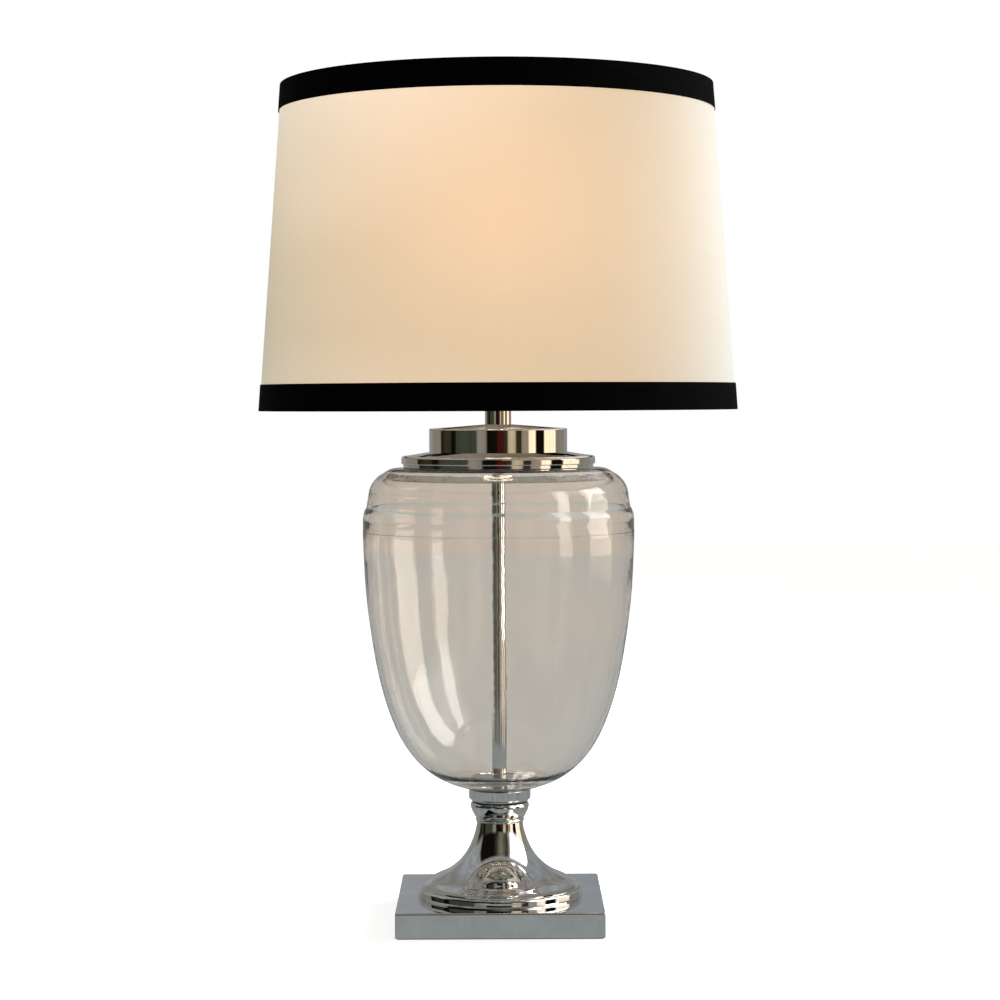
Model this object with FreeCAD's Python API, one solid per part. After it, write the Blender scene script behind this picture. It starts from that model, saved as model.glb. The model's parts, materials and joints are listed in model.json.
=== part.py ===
"""Table lamp: clear glass urn on a flared foot and square base, with a stepped lid, a harp and a drum shade.

Millimetres, +Z up, origin at the middle of the base's underside. The switch knob points to -Y (the front)
and the cord leaves through the back of the base, at +Y. The harp stands in the XZ plane.
Each function returns one sub-part, and main() writes each of them to parts/NAME.step.
"""

import FreeCAD
import Part
import math
import os

V = FreeCAD.Vector
ORIGIN = V(0, 0, 0)
UP = V(0, 0, 1)

# ---- driving dimensions -------------------------------------------------------------------------

# Clearances
fit = 0.1  # radial gap between a hole and the fixed piece in it
running = 0.08  # radial gap between a shaft and the piece that turns or slides on it
rest_gap = 0.3  # gap between pieces that rest on each other and can be taken apart

# Lamp tube that holds the whole stack together, and its nuts
tube_r = 4.9
tube_bore_r = 3.7
nut_flats = 14.0
nut_h = 5.0
washer_t = 1.0
washer_r = 12.0
lock_washer_r = 9.0
lock_washer_t = 0.8
lock_teeth = 10
lock_notch = 2.4
tube_below_nut = 1.0

# Square base
base_side = 171.0
base_h = 21.5
base_wall = 1.2
base_edge_r = 1.4
skirt_lift = 1.0
felt_t = 2.0
felt_inset = 0.6
plate_t = 1.2
weight_t = 12.0
weight_side_gap = 3.0
weight_pocket_r = 17.0
weight_pocket_depth = 4.0
boss_r = 6.0
boss_in = 22.0  # from the base's side to each boss's middle
screw_r = 2.0
screw_head_r = 3.6
screw_head_h = 1.6
screw_len = 8.0

# Cord inlet at the back of the base
inlet_r = 3.4
inlet_z = 11.0
grommet_wall = 1.8
grommet_flange = 2.0
grommet_flange_t = 1.6
grommet_edge_r = 0.6
cord_slot_w = 9.0

# Flared foot
foot_r = 70.0
foot_lip_h = 7.2
foot_lip_round = 2.8
foot_lip_undercut = 0.8
foot_step_in = 3.2
foot_step_h = 1.0
foot_h = 77.5
foot_wall = 2.6
flare_end_slope = 0.15  # fall per unit of width where the flare meets the lip
neck_r = 19.5
collar_bead_r = 24.55
collar_bead_h = 13.5
bead_side_h = 3.6
bead_crown_in = 0.9
bead_waist_out = 3.4
bead_waist_h = 5.3
bead_foot_out = 0.3
small_bead_h = 2.8
small_bead_out = 0.9
# The flare between neck and lip, as shares of its width and of its depth below the neck
FLARE = ((0.04, 0.195), (0.128, 0.4), (0.281, 0.603), (0.451, 0.739), (0.656, 0.846), (0.83, 0.92))

# Glass urn and the cup that it stands in
gap_washer_r = 22.6
gap_washer_t = 1.4
cup_r = 26.0
cup_h = 9.9
cup_chamfer = 2.2
cup_round = 1.5
cup_recess = 2.2
cup_lip = 1.6
cup_lip_round = 0.5
gasket_t = 0.8
gasket_inset = 0.4
glass_h = 271.5
glass_wall = 3.0
glass_floor_t = 6.5
glass_belly_r = 113.8
glass_foot_h = 1.9
glass_end_slope = 0.05  # rise per unit of width at the foot and at the mouth
glass_mouth_r = 70.0
glass_shoulder_r = 86.0
glass_hole_r = 6.5
glass_floor_r = 33.0
glass_step_depth = 0.6
glass_band_h = 14.0
glass_band_lean = 2.2
glass_bead_h = 9.6
glass_bead_in = 2.5
# The urn's belly from foot to bead, as shares of its largest radius and of its height
BELLY = (
    (0.292, 0.0135), (0.389, 0.028), (0.519, 0.059), (0.687, 0.134), (0.8146, 0.246), (0.9, 0.378),
    (0.95, 0.507), (0.986, 0.656), (1.0, 0.806),
)
# The rounded shoulder from the band to the mouth, likewise
SHOULDER = ((0.93, 0.953), (0.882, 0.976), (0.824, 0.991))
inner_washer_r = 23.5
inner_washer_t = 2.0
inner_washer_lip = 1.2
inner_washer_edge = 0.3
inner_washer_rise = 0.7  # of the ring round its top
inner_washer_ring_w = 0.8
inner_washer_ring_slope = 0.4

# Sleeve over the lamp tube inside the glass
sleeve_r = 5.75
sleeve_wall = 0.6

# Lid: stepped disc, drum, pressure plate
lid_skirt_r = 79.6
lid_skirt_h = 2.6
lid_r = 81.2
lid_rim_h = 6.8
lid_rim_round = 2.4
lid_rim_low_round = 0.8
lid_rim_w = 4.0  # level part of its top
lid_slope_h = 3.0
lid_wall = 1.2
drum_r = 57.8
drum_h = 19.6
drum_dome_h = 3.4
drum_edge_r = 1.2
drum_land = 0.8  # level part of the lid round the drum
lid_plate_t = 1.5
lid_spigot_h = 4.0

# Neck tube up to the socket
neck_tube_r = 11.0
neck_tube_wall = 1.0
neck_tube_h = 66.0
neck_ring_r = 13.5
neck_ring_t = 2.0
neck_ring_round = 0.6
neck_land = 1.5  # level part of the drum round the neck

# Socket
cap_hub_r = 7.6
cap_hub_h = 6.5
cap_hub_round = 0.8
cap_dome_h = 7.0
cap_skirt_r = 18.2
cap_skirt_h = 8.5
cap_round = 1.4
cap_ledge_r = 13.5
metal_t = 0.7
tube_into_cap = 9.0
set_screw_r = 1.5
set_screw_len = 3.2
set_screw_slot = 0.8
shell_t = 0.4
shell_h = 52.0
shell_bead_out = 0.45
shell_bead_half = 1.6
shell_bead_drops = (12.0, 6.0)  # from the shell's mouth to each bead's middle
knob_window_gap = 1.2
liner_t = 0.7
liner_short = 3.0
body_h = 17.0
screw_shell_h = 24.5
screw_shell_t = 0.5
thread_pitch = 3.62
thread_depth = 0.8
thread_round = 0.7
contact_r = 4.0
contact_t = 0.8
terminal_r = 2.6
terminal_h = 1.4
terminal_slot_w = 0.7
terminal_pocket_gap = 0.5
terminal_drop = 5.0

# Turn knob of the switch
knob_shaft_r = 1.9
knob_shaft_len = 22.0
knob_r = 6.5
knob_len = 13.0
knob_taper = 0.82  # end radius as a share of knob_r
knob_wing_w = 3.6
knob_wing_r = 8.5
knob_wing_share = 0.72  # of the knob's length
knob_start = 24.0
knob_drop = 5.8  # below the top of the socket's body

# Bulb
bulb_r = 30.0
bulb_len = 105.0
bulb_wall = 0.9
bulb_cap_h = 26.0
bulb_cap_r = 13.2
bulb_cap_t = 0.5
bulb_neck_in_cap = 5.0
bulb_tip_r = 3.4
bulb_tip_h = 1.6
bulb_tip_round = 0.7
bulb_insulator_h = 3.4
bulb_insulator_land = 1.0
# The bulb's side between cap and widest place, as shares of its swell and of its rise
BULB_SIDE = ((0.3, 0.34), (0.82, 0.74))
stem_r = 2.6
stem_h = 42.0
filament_r = 0.3
filament_span = 9.0
filament_rise = 12.0

# Harp, its saddle and ferrules
wire_r = 1.6
harp_foot_x = 30.0
harp_h = 196.0
harp_leg_straight = 24.0
harp_bend_r = 24.0
harp_flare_deg = 12.0
saddle_t = 1.5
saddle_w = 11.0
saddle_post_h = 8.0
ferrule_len = 15.0
ferrule_wall = 1.0
stud_block_r = 5.0
stud_block_h = 6.4
stud_seat_r = 8.5
stud_seat_t = 2.0
stud_r = 3.1
stud_len = 12.0

# Shade
shade_bottom_r = 200.0
shade_top_r = 180.0
shade_h = 270.0
shade_above_lid = 12.0  # from the top of the lid to the shade's lower edge
liner_film = 0.6
fabric_t = 0.5
trim_t = 0.5
trim_h = 22.0
trim_return = 9.0
ring_wire_r = 1.5
arm_count = 3
hub_r = 12.0
hub_t = 1.6
arm_notch_gap = 0.4
arm_sink = 0.8  # height of an arm's middle over the hub, as a share of its wire's radius
arm_weld = 0.6  # from the ring's middle to an arm's end, likewise

# Finial
finial_base_r = 8.0
finial_base_h = 4.0
finial_edge_r = 0.5
finial_shoulder = 0.8
finial_waist_r = 4.6
finial_waist_h = 3.2
finial_ball_r = 8.6

# ---- places worked out from them ----------------------------------------------------------------

weight_top = base_h - base_wall
weight_bottom = weight_top - weight_t
plate_top = felt_t + plate_t
pocket_top = weight_bottom + weight_pocket_depth
washer_bottom = pocket_top - washer_t
lock_washer_bottom = washer_bottom - lock_washer_t
nut_bottom = lock_washer_bottom - nut_h
tube_bottom = nut_bottom - tube_below_nut

foot_top = base_h + foot_h
cup_bottom = foot_top + gap_washer_t
cup_floor = cup_bottom + cup_h - cup_recess
glass_bottom = cup_floor + gasket_t
glass_top = glass_bottom + glass_h
glass_floor = glass_bottom + glass_floor_t
inner_washer_bottom = glass_floor + gasket_t
sleeve_bottom = inner_washer_bottom + inner_washer_t
glass_foot_r = cup_r - cup_lip - 2 * fit

lid_bottom = glass_top + gasket_t
sleeve_top = lid_bottom - lid_spigot_h - gasket_t
lid_rim_bottom = lid_bottom + lid_skirt_h
lid_rim_top = lid_rim_bottom + lid_rim_h
lid_top = lid_rim_top + lid_slope_h
drum_top = lid_top + drum_h
neck_bottom = drum_top + drum_dome_h
neck_top = neck_bottom + neck_tube_h
saddle_bottom = neck_top + neck_ring_t
saddle_top = saddle_bottom + saddle_t

cap_bottom = saddle_top
cap_dome_bottom = cap_bottom + cap_hub_h
set_screw_z = cap_bottom + cap_hub_h / 2
set_screw_end = tube_r + fit + set_screw_len
cap_skirt_bottom = cap_dome_bottom + cap_dome_h
cap_top = cap_skirt_bottom + cap_skirt_h
tube_top = cap_bottom + tube_into_cap
shell_bottom = cap_skirt_bottom + metal_t
shell_top = shell_bottom + shell_h
shell_r = cap_skirt_r - metal_t - fit
liner_top = shell_top - liner_short
liner_r = shell_r - shell_t - fit
body_r = liner_r - liner_t - fit
body_top = shell_bottom + body_h
screw_shell_r = body_r - fit
knob_z = body_top - knob_drop
contact_top = body_top + contact_t

bulb_bottom = contact_top + rest_gap
bulb_top = bulb_bottom + bulb_len
bulb_cap_top = bulb_bottom + bulb_cap_h
bulb_neck_r = bulb_cap_r - thread_depth - bulb_cap_t - fit
bulb_widest = bulb_top - bulb_r
stem_bottom = bulb_cap_top - bulb_neck_in_cap
stem_top = stem_bottom + stem_h

post_top = saddle_top + saddle_post_h
leg_bottom = post_top + rest_gap
harp_top = saddle_top + harp_h  # middle of the wire at the top of the arch
stud_block_top = harp_top + stud_block_h / 2
stud_seat_top = stud_block_top + stud_seat_t
hub_bottom = stud_seat_top + rest_gap
hub_top = hub_bottom + hub_t
finial_bottom = hub_top + rest_gap

shade_bottom = neck_bottom + shade_above_lid
shade_top = shade_bottom + shade_h
shade_lean = (shade_bottom_r - shade_top_r) / shade_h
shade_skin = trim_t + fabric_t + liner_film
ring_gap = fit + abs(shade_lean) * ring_wire_r  # keeps a frame ring off the slanting faces beside it

# ---- drawing helpers ----------------------------------------------------------------------------


def point(r, z):
    """A point of a half-section: radius r at height z."""
    return V(r, 0, z)


def line(a, b):
    return Part.LineSegment(a, b).toShape()


def spline(points, first=None, last=None):
    """A smooth curve through the points, with optional end directions."""
    curve = Part.BSplineCurve()
    if first is None:
        curve.interpolate(Points=points)
    else:
        curve.interpolate(Points=points, InitialTangent=first, FinalTangent=last)
    return curve


def corner_arc(before, corner, after, radius):
    """The arc that rounds a corner, with its two tangent points."""
    to_before = (before - corner).normalize()
    to_after = (after - corner).normalize()
    half = to_before.getAngle(to_after) / 2
    reach = radius / math.tan(half)
    middle_way = (to_before + to_after).normalize()
    centre = corner + middle_way * (radius / math.sin(half))
    start = corner + to_before * reach
    end = corner + to_after * reach
    return start, end, Part.Arc(start, centre - middle_way * radius, end).toShape()


def outline(corners):
    """The edges of a closed half-section. A corner is (r, z), or (r, z, radius) where it is rounded."""
    points = [point(c[0], c[1]) for c in corners]
    count = len(corners)
    starts, ends, arcs = [], [], []
    for i, c in enumerate(corners):
        if len(c) == 3:
            start, end, arc = corner_arc(points[i - 1], points[i], points[(i + 1) % count], c[2])
            arcs.append(arc)
        else:
            start = end = points[i]
            arcs.append(None)
        starts.append(start)
        ends.append(end)
    edges = []
    for i in range(count):
        if arcs[i] is not None:
            edges.append(arcs[i])
        following = starts[(i + 1) % count]
        if ends[i].distanceToPoint(following) > 1e-6:
            edges.append(line(ends[i], following))
    return edges


def turned(edges):
    """The solid that a closed half-section sweeps about the Z axis."""
    face = Part.Face(Part.Wire(Part.sortEdges(edges)[0]))
    return face.revolve(ORIGIN, UP, 360)


def lathe(*corners):
    return turned(outline(corners))


def tube(r_in, r_out, z_low, z_high):
    return lathe((r_in, z_low), (r_out, z_low), (r_out, z_high), (r_in, z_high))


def disc(r, z_low, z_high):
    return Part.makeCylinder(r, z_high - z_low, point(0, z_low))


def rod(r, start, end):
    """A round bar from one point to another."""
    return Part.makeCylinder(r, start.distanceToPoint(end), start, end - start)


def box(size_x, size_y, z_low, z_high):
    """A block centred on the Z axis."""
    return Part.makeBox(size_x, size_y, z_high - z_low, V(-size_x / 2, -size_y / 2, z_low))


def hexagon(flats, z_low, z_high):
    across = flats / math.sqrt(3)
    corners = [V(across * math.cos(math.radians(60 * i)), across * math.sin(math.radians(60 * i)), z_low)
               for i in range(7)]
    return Part.Face(Part.makePolygon(corners)).extrude(V(0, 0, z_high - z_low))


def tube_hole(z_low, z_high, r=tube_r + fit):
    return disc(r, z_low, z_high)


def four_corners(distance):
    return [V(x * distance, y * distance, 0) for x in (-1, 1) for y in (-1, 1)]


def shade_r(z):
    """Outer radius of the shade's slanting side at height z."""
    return shade_bottom_r - shade_lean * (z - shade_bottom)


def slanted_band(z_low, z_high, depth_out, depth_in):
    """A band of the shade's side, between two depths under its outer face."""
    return lathe(
        (shade_r(z_low) - depth_in, z_low), (shade_r(z_low) - depth_out, z_low),
        (shade_r(z_high) - depth_out, z_high), (shade_r(z_high) - depth_in, z_high),
    )


# ---- base ---------------------------------------------------------------------------------------


def inlet_hole(r):
    """A bar along Y through the back wall of the base, on the cord inlet's axis."""
    return rod(r, V(0, base_side / 2 - 3 * base_wall, inlet_z), V(0, base_side / 2 + base_wall, inlet_z))


def base_cover():
    outer = box(base_side, base_side, skirt_lift, base_h)
    top_edges = [e for e in outer.Edges if e.BoundBox.ZMax > skirt_lift + base_edge_r]
    outer = outer.makeFillet(base_edge_r, top_edges)
    inner_side = base_side - 2 * base_wall
    inner = box(inner_side, inner_side, 0, weight_top)
    shell = outer.cut(inner).cut(tube_hole(weight_top, base_h))
    return shell.cut(inlet_hole(inlet_r + grommet_wall + fit))


def boss_places():
    return four_corners(base_side / 2 - boss_in)


def plate_screw(clearance=0.0):
    """One countersunk screw, standing on the underside of the closing plate."""
    head = screw_head_r + clearance
    shank = screw_r + clearance
    return lathe(
        (0, felt_t), (head, felt_t), (shank, felt_t + screw_head_h),
        (shank, felt_t + screw_len + clearance), (0, felt_t + screw_len + clearance),
    )


def screw_set(clearance=0.0):
    return [plate_screw(clearance).translated(place) for place in boss_places()]


def base_weight():
    side = base_side - 2 * base_wall - 2 * weight_side_gap
    slab = box(side, side, weight_bottom, weight_top)
    bosses = [disc(boss_r, plate_top, weight_bottom).translated(place) for place in boss_places()]
    slab = slab.fuse(bosses).removeSplitter()
    pocket = disc(weight_pocket_r, weight_bottom, pocket_top)
    slot_reach = side / 2 - weight_pocket_r / 2
    slot = Part.makeBox(
        cord_slot_w, slot_reach + weight_side_gap, inlet_z + cord_slot_w / 2 - weight_bottom,
        V(-cord_slot_w / 2, weight_pocket_r / 2, weight_bottom),
    )
    slab = slab.cut([pocket, slot, tube_hole(weight_bottom, weight_top)])
    return slab.cut(screw_set(fit))


def closing_plate():
    side = base_side - 2 * base_wall - 2 * fit
    return box(side, side, felt_t, plate_top).cut(screw_set(fit))


def plate_screws():
    cross = [
        box(w, t, felt_t, felt_t + screw_head_h / 2)
        for w, t in ((screw_head_r, screw_r / 3), (screw_r / 3, screw_head_r))
    ]
    drive = cross[0].fuse(cross[1])
    screws = [screw.cut(drive.translated(place)) for screw, place in zip(screw_set(), boss_places())]
    return Part.makeCompound(screws)


def felt_pad():
    side = base_side - 2 * base_wall - 2 * felt_inset
    return box(side, side, 0, felt_t)


def cord_grommet():
    """A bush with a flange on each side of the back wall, its bore along Y."""
    wall_out = base_side / 2
    wall_in = wall_out - base_wall
    barrel_r = inlet_r + grommet_wall
    flange_r = barrel_r + grommet_flange
    profile = lathe(
        (inlet_r, wall_in - grommet_flange_t), (flange_r - fit, wall_in - grommet_flange_t),
        (flange_r - fit, wall_in - fit), (barrel_r, wall_in - fit), (barrel_r, wall_out + fit),
        (flange_r, wall_out + fit), (flange_r, wall_out + grommet_flange_t, grommet_edge_r),
        (inlet_r, wall_out + grommet_flange_t),
    )
    lying = profile.copy()
    lying.rotate(ORIGIN, V(1, 0, 0), -90)
    return lying.translated(V(0, 0, inlet_z))


def tube_nut():
    return hexagon(nut_flats, nut_bottom, lock_washer_bottom).cut(tube_hole(nut_bottom, lock_washer_bottom))


def tube_lock_washer():
    """A washer with notches round its rim, which leave its teeth between them."""
    ring = tube(tube_r + fit, lock_washer_r, lock_washer_bottom, washer_bottom)
    notches = []
    for i in range(lock_teeth):
        notch = box(lock_notch, lock_notch, lock_washer_bottom, washer_bottom)
        notch.translate(V(lock_washer_r, 0, 0))
        notch.rotate(ORIGIN, UP, 360 / lock_teeth * i)
        notches.append(notch)
    return ring.cut(notches)


def tube_washer():
    return tube(tube_r + fit, washer_r, washer_bottom, pocket_top)


def lamp_tube():
    return tube(tube_bore_r, tube_r, tube_bottom, tube_top)


# ---- foot ---------------------------------------------------------------------------------------


def flare_points(inset):
    """The flare of the foot from its neck down to its lip, moved in and down by inset."""
    top = foot_top - collar_bead_h - small_bead_h
    bottom = base_h + foot_lip_h + foot_step_h
    width = foot_r - foot_step_in - neck_r
    shares = ((0.0, 0.0),) + FLARE + ((1.0, 1.0),)
    return [
        point(neck_r + width * across - inset, top - (top - bottom) * down - inset)
        for across, down in shares
    ]


def flared_foot():
    """A hollow casting: trumpet flare, stepped rounded lip, a small bead and a larger one on top."""
    flare = flare_points(0)
    inside = flare_points(foot_wall)
    lip_top = base_h + foot_lip_h
    lip_in = point(flare[-1].x, lip_top)
    round_in = point(foot_r - foot_lip_round, lip_top)
    round_sag = foot_lip_round * (1 - math.sqrt(0.5))
    round_mid = point(foot_r - round_sag, lip_top - round_sag)
    round_out = point(foot_r, lip_top - foot_lip_round)
    side_low = point(foot_r, base_h + 2 * foot_lip_undercut)
    foot_edge = point(foot_r - foot_lip_undercut, base_h)
    inside_low = point(inside[-1].x, base_h)
    neck_z = flare[0].z
    bead_bottom = neck_z + small_bead_h
    small_bead = point(neck_r + small_bead_out, neck_z + small_bead_h / 2)
    bead_foot = point(neck_r + bead_foot_out, bead_bottom)
    bead_waist = point(neck_r + bead_waist_out, bead_bottom + bead_waist_h)
    bead_side = point(collar_bead_r, foot_top - bead_side_h)
    bead_round = point(collar_bead_r - bead_crown_in / 4, foot_top - bead_side_h / 3)
    bead_crown = point(collar_bead_r - bead_crown_in, foot_top)
    hole_top = point(tube_r + fit, foot_top)
    hole_bottom = point(tube_r + fit, inside[0].z)
    edges = [
        spline(flare, V(0, 0, -1), V(1, 0, -flare_end_slope)).toShape(),
        line(flare[-1], lip_in),
        line(lip_in, round_in),
        Part.Arc(round_in, round_mid, round_out).toShape(),
        line(round_out, side_low),
        line(side_low, foot_edge),
        line(foot_edge, inside_low),
        line(inside_low, inside[-1]),
        spline(inside, V(0, 0, -1), V(1, 0, -flare_end_slope)).toShape(),
        line(inside[0], hole_bottom),
        line(hole_bottom, hole_top),
        line(hole_top, bead_crown),
        Part.Arc(bead_crown, bead_round, bead_side).toShape(),
        spline([bead_side, bead_waist, bead_foot]).toShape(),
        Part.Arc(bead_foot, small_bead, flare[0]).toShape(),
    ]
    return turned(edges)


def gap_washer():
    return tube(tube_r + fit, gap_washer_r, foot_top, cup_bottom)


def glass_cup():
    """The turned ring whose recess holds the foot of the urn."""
    top = cup_bottom + cup_h
    return lathe(
        (tube_r + fit, cup_bottom), (cup_r - cup_chamfer, cup_bottom),
        (cup_r, cup_bottom + cup_chamfer, cup_round), (cup_r, top, cup_lip_round),
        (cup_r - cup_lip, top), (cup_r - cup_lip, cup_floor), (tube_r + fit, cup_floor),
    )


# ---- glass --------------------------------------------------------------------------------------


def lower_gasket():
    return tube(tube_r + 2 * fit, glass_foot_r - fit, cup_floor, glass_bottom)


def urn_point(across, up):
    """A point of the urn, from its shares of the belly's radius and of the height."""
    return point(glass_belly_r * across, glass_bottom + glass_h * up)


def moved_in(points, wall):
    """The points of a curve moved square to it by the wall, towards the inside of the urn."""
    moved = []
    for i, here in enumerate(points):
        before = points[max(i - 1, 0)]
        after = points[min(i + 1, len(points) - 1)]
        way = after - before
        moved.append(here + V(-way.z, 0, way.x).normalize() * wall)
    return moved


def glass_urn():
    """Belly, convex bead, leaning band and rounded shoulder outside; one smooth hollow inside."""
    foot_corner = point(glass_foot_r, glass_bottom + glass_foot_h)
    belly = [foot_corner] + [urn_point(*share) for share in BELLY]
    bead_low = point(glass_belly_r - glass_step_depth / 4, belly[-1].z + glass_bead_h)
    bead_top = point(glass_belly_r - glass_bead_in, bead_low.z + glass_bead_h)
    bead_mid = point((bead_low.x + bead_top.x) / 2 + glass_step_depth, (bead_low.z + bead_top.z) / 2)
    band_low = point(bead_top.x - glass_step_depth, bead_top.z)
    band_top = point(band_low.x - glass_band_lean, band_low.z + glass_band_h)
    lip = point(glass_shoulder_r, glass_top)
    shoulder = [band_top] + [urn_point(*share) for share in SHOULDER] + [lip]
    mouth_top = point(glass_mouth_r, glass_top)
    mouth_low = point(glass_mouth_r, glass_top - glass_wall)
    floor_edge = point(glass_floor_r, glass_floor)
    hollow = [p for p in moved_in(belly, glass_wall) if p.z > glass_floor + glass_wall]
    hollow += moved_in([bead_low, band_low, band_top] + shoulder[1:-1], glass_wall)[1:]
    edges = [
        line(point(glass_hole_r, glass_bottom), point(glass_foot_r, glass_bottom)),
        line(point(glass_foot_r, glass_bottom), foot_corner),
        spline(belly + [bead_low], V(1, 0, glass_end_slope), V(0, 0, 1)).toShape(),
        Part.Arc(bead_low, bead_mid, bead_top).toShape(),
        line(bead_top, band_low),
        line(band_low, band_top),
        spline(shoulder, V(-glass_band_lean, 0, glass_band_h), V(-1, 0, glass_end_slope)).toShape(),
        line(lip, mouth_top),
        line(mouth_top, mouth_low),
        spline([floor_edge] + hollow + [mouth_low], V(1, 0, 0), V(-1, 0, 0)).toShape(),
        line(floor_edge, point(glass_hole_r, glass_floor)),
        line(point(glass_hole_r, glass_floor), point(glass_hole_r, glass_bottom)),
    ]
    return turned(edges)


def inner_gasket():
    return tube(tube_r + 2 * fit, inner_washer_r - inner_washer_lip, glass_floor, inner_washer_bottom)


def inner_washer():
    """A shallow turned washer on the floor of the urn, under the sleeve."""
    low, high = inner_washer_bottom, sleeve_bottom
    inner_r = inner_washer_r - inner_washer_lip
    ring_r = inner_r - inner_washer_ring_w
    ring_top = high + inner_washer_rise
    return lathe(
        (tube_r + fit, low), (inner_washer_r, low), (inner_washer_r, high - inner_washer_edge),
        (inner_r, ring_top), (ring_r, ring_top), (ring_r - inner_washer_ring_slope, high),
        (tube_r + fit, high),
    )


def tube_sleeve():
    return tube(sleeve_r - sleeve_wall, sleeve_r, sleeve_bottom, sleeve_top)


# ---- lid ----------------------------------------------------------------------------------------


def upper_gasket():
    return tube(glass_mouth_r + gasket_inset, lid_skirt_r - gasket_inset, glass_top, lid_bottom)


def lid_plate():
    """A pressed dish: its flange bears on the urn's mouth and its well centres it there."""
    flange_r = lid_skirt_r - lid_wall - fit
    well_r = glass_mouth_r - 3 * fit
    return lathe(
        (tube_r + fit, sleeve_top), (well_r, sleeve_top, lid_plate_t), (well_r, lid_bottom),
        (flange_r, lid_bottom), (flange_r, lid_bottom + lid_plate_t),
        (well_r - lid_plate_t, lid_bottom + lid_plate_t),
        (well_r - lid_plate_t, sleeve_top + lid_plate_t), (tube_r + fit, sleeve_top + lid_plate_t),
    )


def lid_washer():
    low = sleeve_top + lid_plate_t
    return tube(tube_r + fit, washer_r, low, low + washer_t)


def lid_nut():
    low = sleeve_top + lid_plate_t + washer_t
    return hexagon(nut_flats, low, low + nut_h).cut(tube_hole(low, low + nut_h))


def lid_disc():
    """A spun shell with a short skirt, a rounded rim and a top that slopes up to the drum."""
    in_skirt = lid_skirt_r - lid_wall
    in_rim = lid_r - lid_wall
    foot_of_drum = drum_r + drum_land
    slope_foot = lid_r - lid_rim_w
    return lathe(
        (in_skirt, lid_bottom), (lid_skirt_r, lid_bottom), (lid_skirt_r, lid_rim_bottom),
        (lid_r, lid_rim_bottom, lid_rim_low_round), (lid_r, lid_rim_top, lid_rim_round),
        (slope_foot, lid_rim_top), (foot_of_drum, lid_top), (tube_r + fit, lid_top),
        (tube_r + fit, lid_top - lid_wall), (foot_of_drum, lid_top - lid_wall),
        (slope_foot - lid_wall / 3, lid_rim_top - lid_wall),
        (in_rim, lid_rim_top - lid_wall, lid_rim_round - lid_wall), (in_rim, lid_rim_bottom + lid_wall),
        (in_skirt, lid_rim_bottom + lid_wall),
    )


def lid_drum():
    """A spun shell with a low dome, flat where the neck stands on it."""
    land_r = neck_tube_r + neck_land
    in_r = drum_r - lid_wall
    return lathe(
        (in_r, lid_top), (drum_r, lid_top), (drum_r, drum_top, drum_edge_r), (land_r, neck_bottom),
        (tube_r + fit, neck_bottom), (tube_r + fit, neck_bottom - lid_wall),
        (land_r, neck_bottom - lid_wall), (in_r, drum_top - lid_wall, drum_edge_r / 2),
    )


def neck_tube():
    return tube(neck_tube_r - neck_tube_wall, neck_tube_r, neck_bottom, neck_top)


def neck_ring():
    return lathe(
        (tube_r + fit, neck_top), (neck_ring_r, neck_top, neck_ring_round),
        (neck_ring_r, saddle_bottom, neck_ring_round), (tube_r + fit, saddle_bottom),
    )


# ---- socket -------------------------------------------------------------------------------------


def socket_cap():
    """The cup that screws on the lamp tube and carries the socket's shell."""
    in_r = cap_skirt_r - metal_t
    return lathe(
        (tube_r + fit, cap_bottom), (cap_hub_r, cap_bottom, cap_hub_round), (cap_hub_r, cap_dome_bottom),
        (cap_ledge_r, cap_skirt_bottom), (cap_skirt_r, cap_skirt_bottom, cap_round), (cap_skirt_r, cap_top),
        (in_r, cap_top), (in_r, shell_bottom), (cap_ledge_r, shell_bottom),
        (cap_hub_r - metal_t, cap_dome_bottom + metal_t),
        (tube_r + fit, cap_dome_bottom + metal_t),
    ).cut(set_screw_bar(set_screw_r + fit, 0))


def set_screw_bar(r, start):
    """A bar along X in the side of the cap's hub, from start to the outside."""
    return rod(r, V(start, 0, set_screw_z), V(set_screw_end, 0, set_screw_z))


def socket_set_screw():
    slot_len = 2 * (set_screw_r + fit)
    slot_w = set_screw_r / 3
    slot = Part.makeBox(
        set_screw_slot, slot_len, slot_w,
        V(set_screw_end - set_screw_slot, -slot_len / 2, set_screw_z - slot_w / 2),
    )
    return set_screw_bar(set_screw_r, tube_r + fit).cut(slot)


def knob_window(r):
    """A bar along -Y through the socket's walls, on the switch shaft's axis."""
    return rod(r, V(0, -body_r / 2, knob_z), V(0, -cap_skirt_r - metal_t, knob_z))


def socket_shell():
    """The outer shell of the socket, with two rolled beads near its mouth."""
    beads = []
    for drop in shell_bead_drops:
        middle = shell_top - drop
        beads += [
            (shell_r, middle - shell_bead_half), (shell_r + shell_bead_out, middle),
            (shell_r, middle + shell_bead_half),
        ]
    in_r = shell_r - shell_t
    shell = lathe(
        (in_r, shell_bottom), (shell_r, shell_bottom), *beads, (shell_r, shell_top), (in_r, shell_top),
    )
    return shell.cut(knob_window(knob_shaft_r + knob_window_gap))


def socket_liner():
    liner = tube(liner_r - liner_t, liner_r, shell_bottom, liner_top)
    return liner.cut(knob_window(knob_shaft_r + knob_window_gap))


def terminal_places():
    """Where the two terminal screws stand on the body's sides, along X."""
    z = body_top - terminal_drop
    flat = body_r - terminal_h - metal_t
    return [(side, V(side * flat, 0, z)) for side in (-1, 1)]


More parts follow.
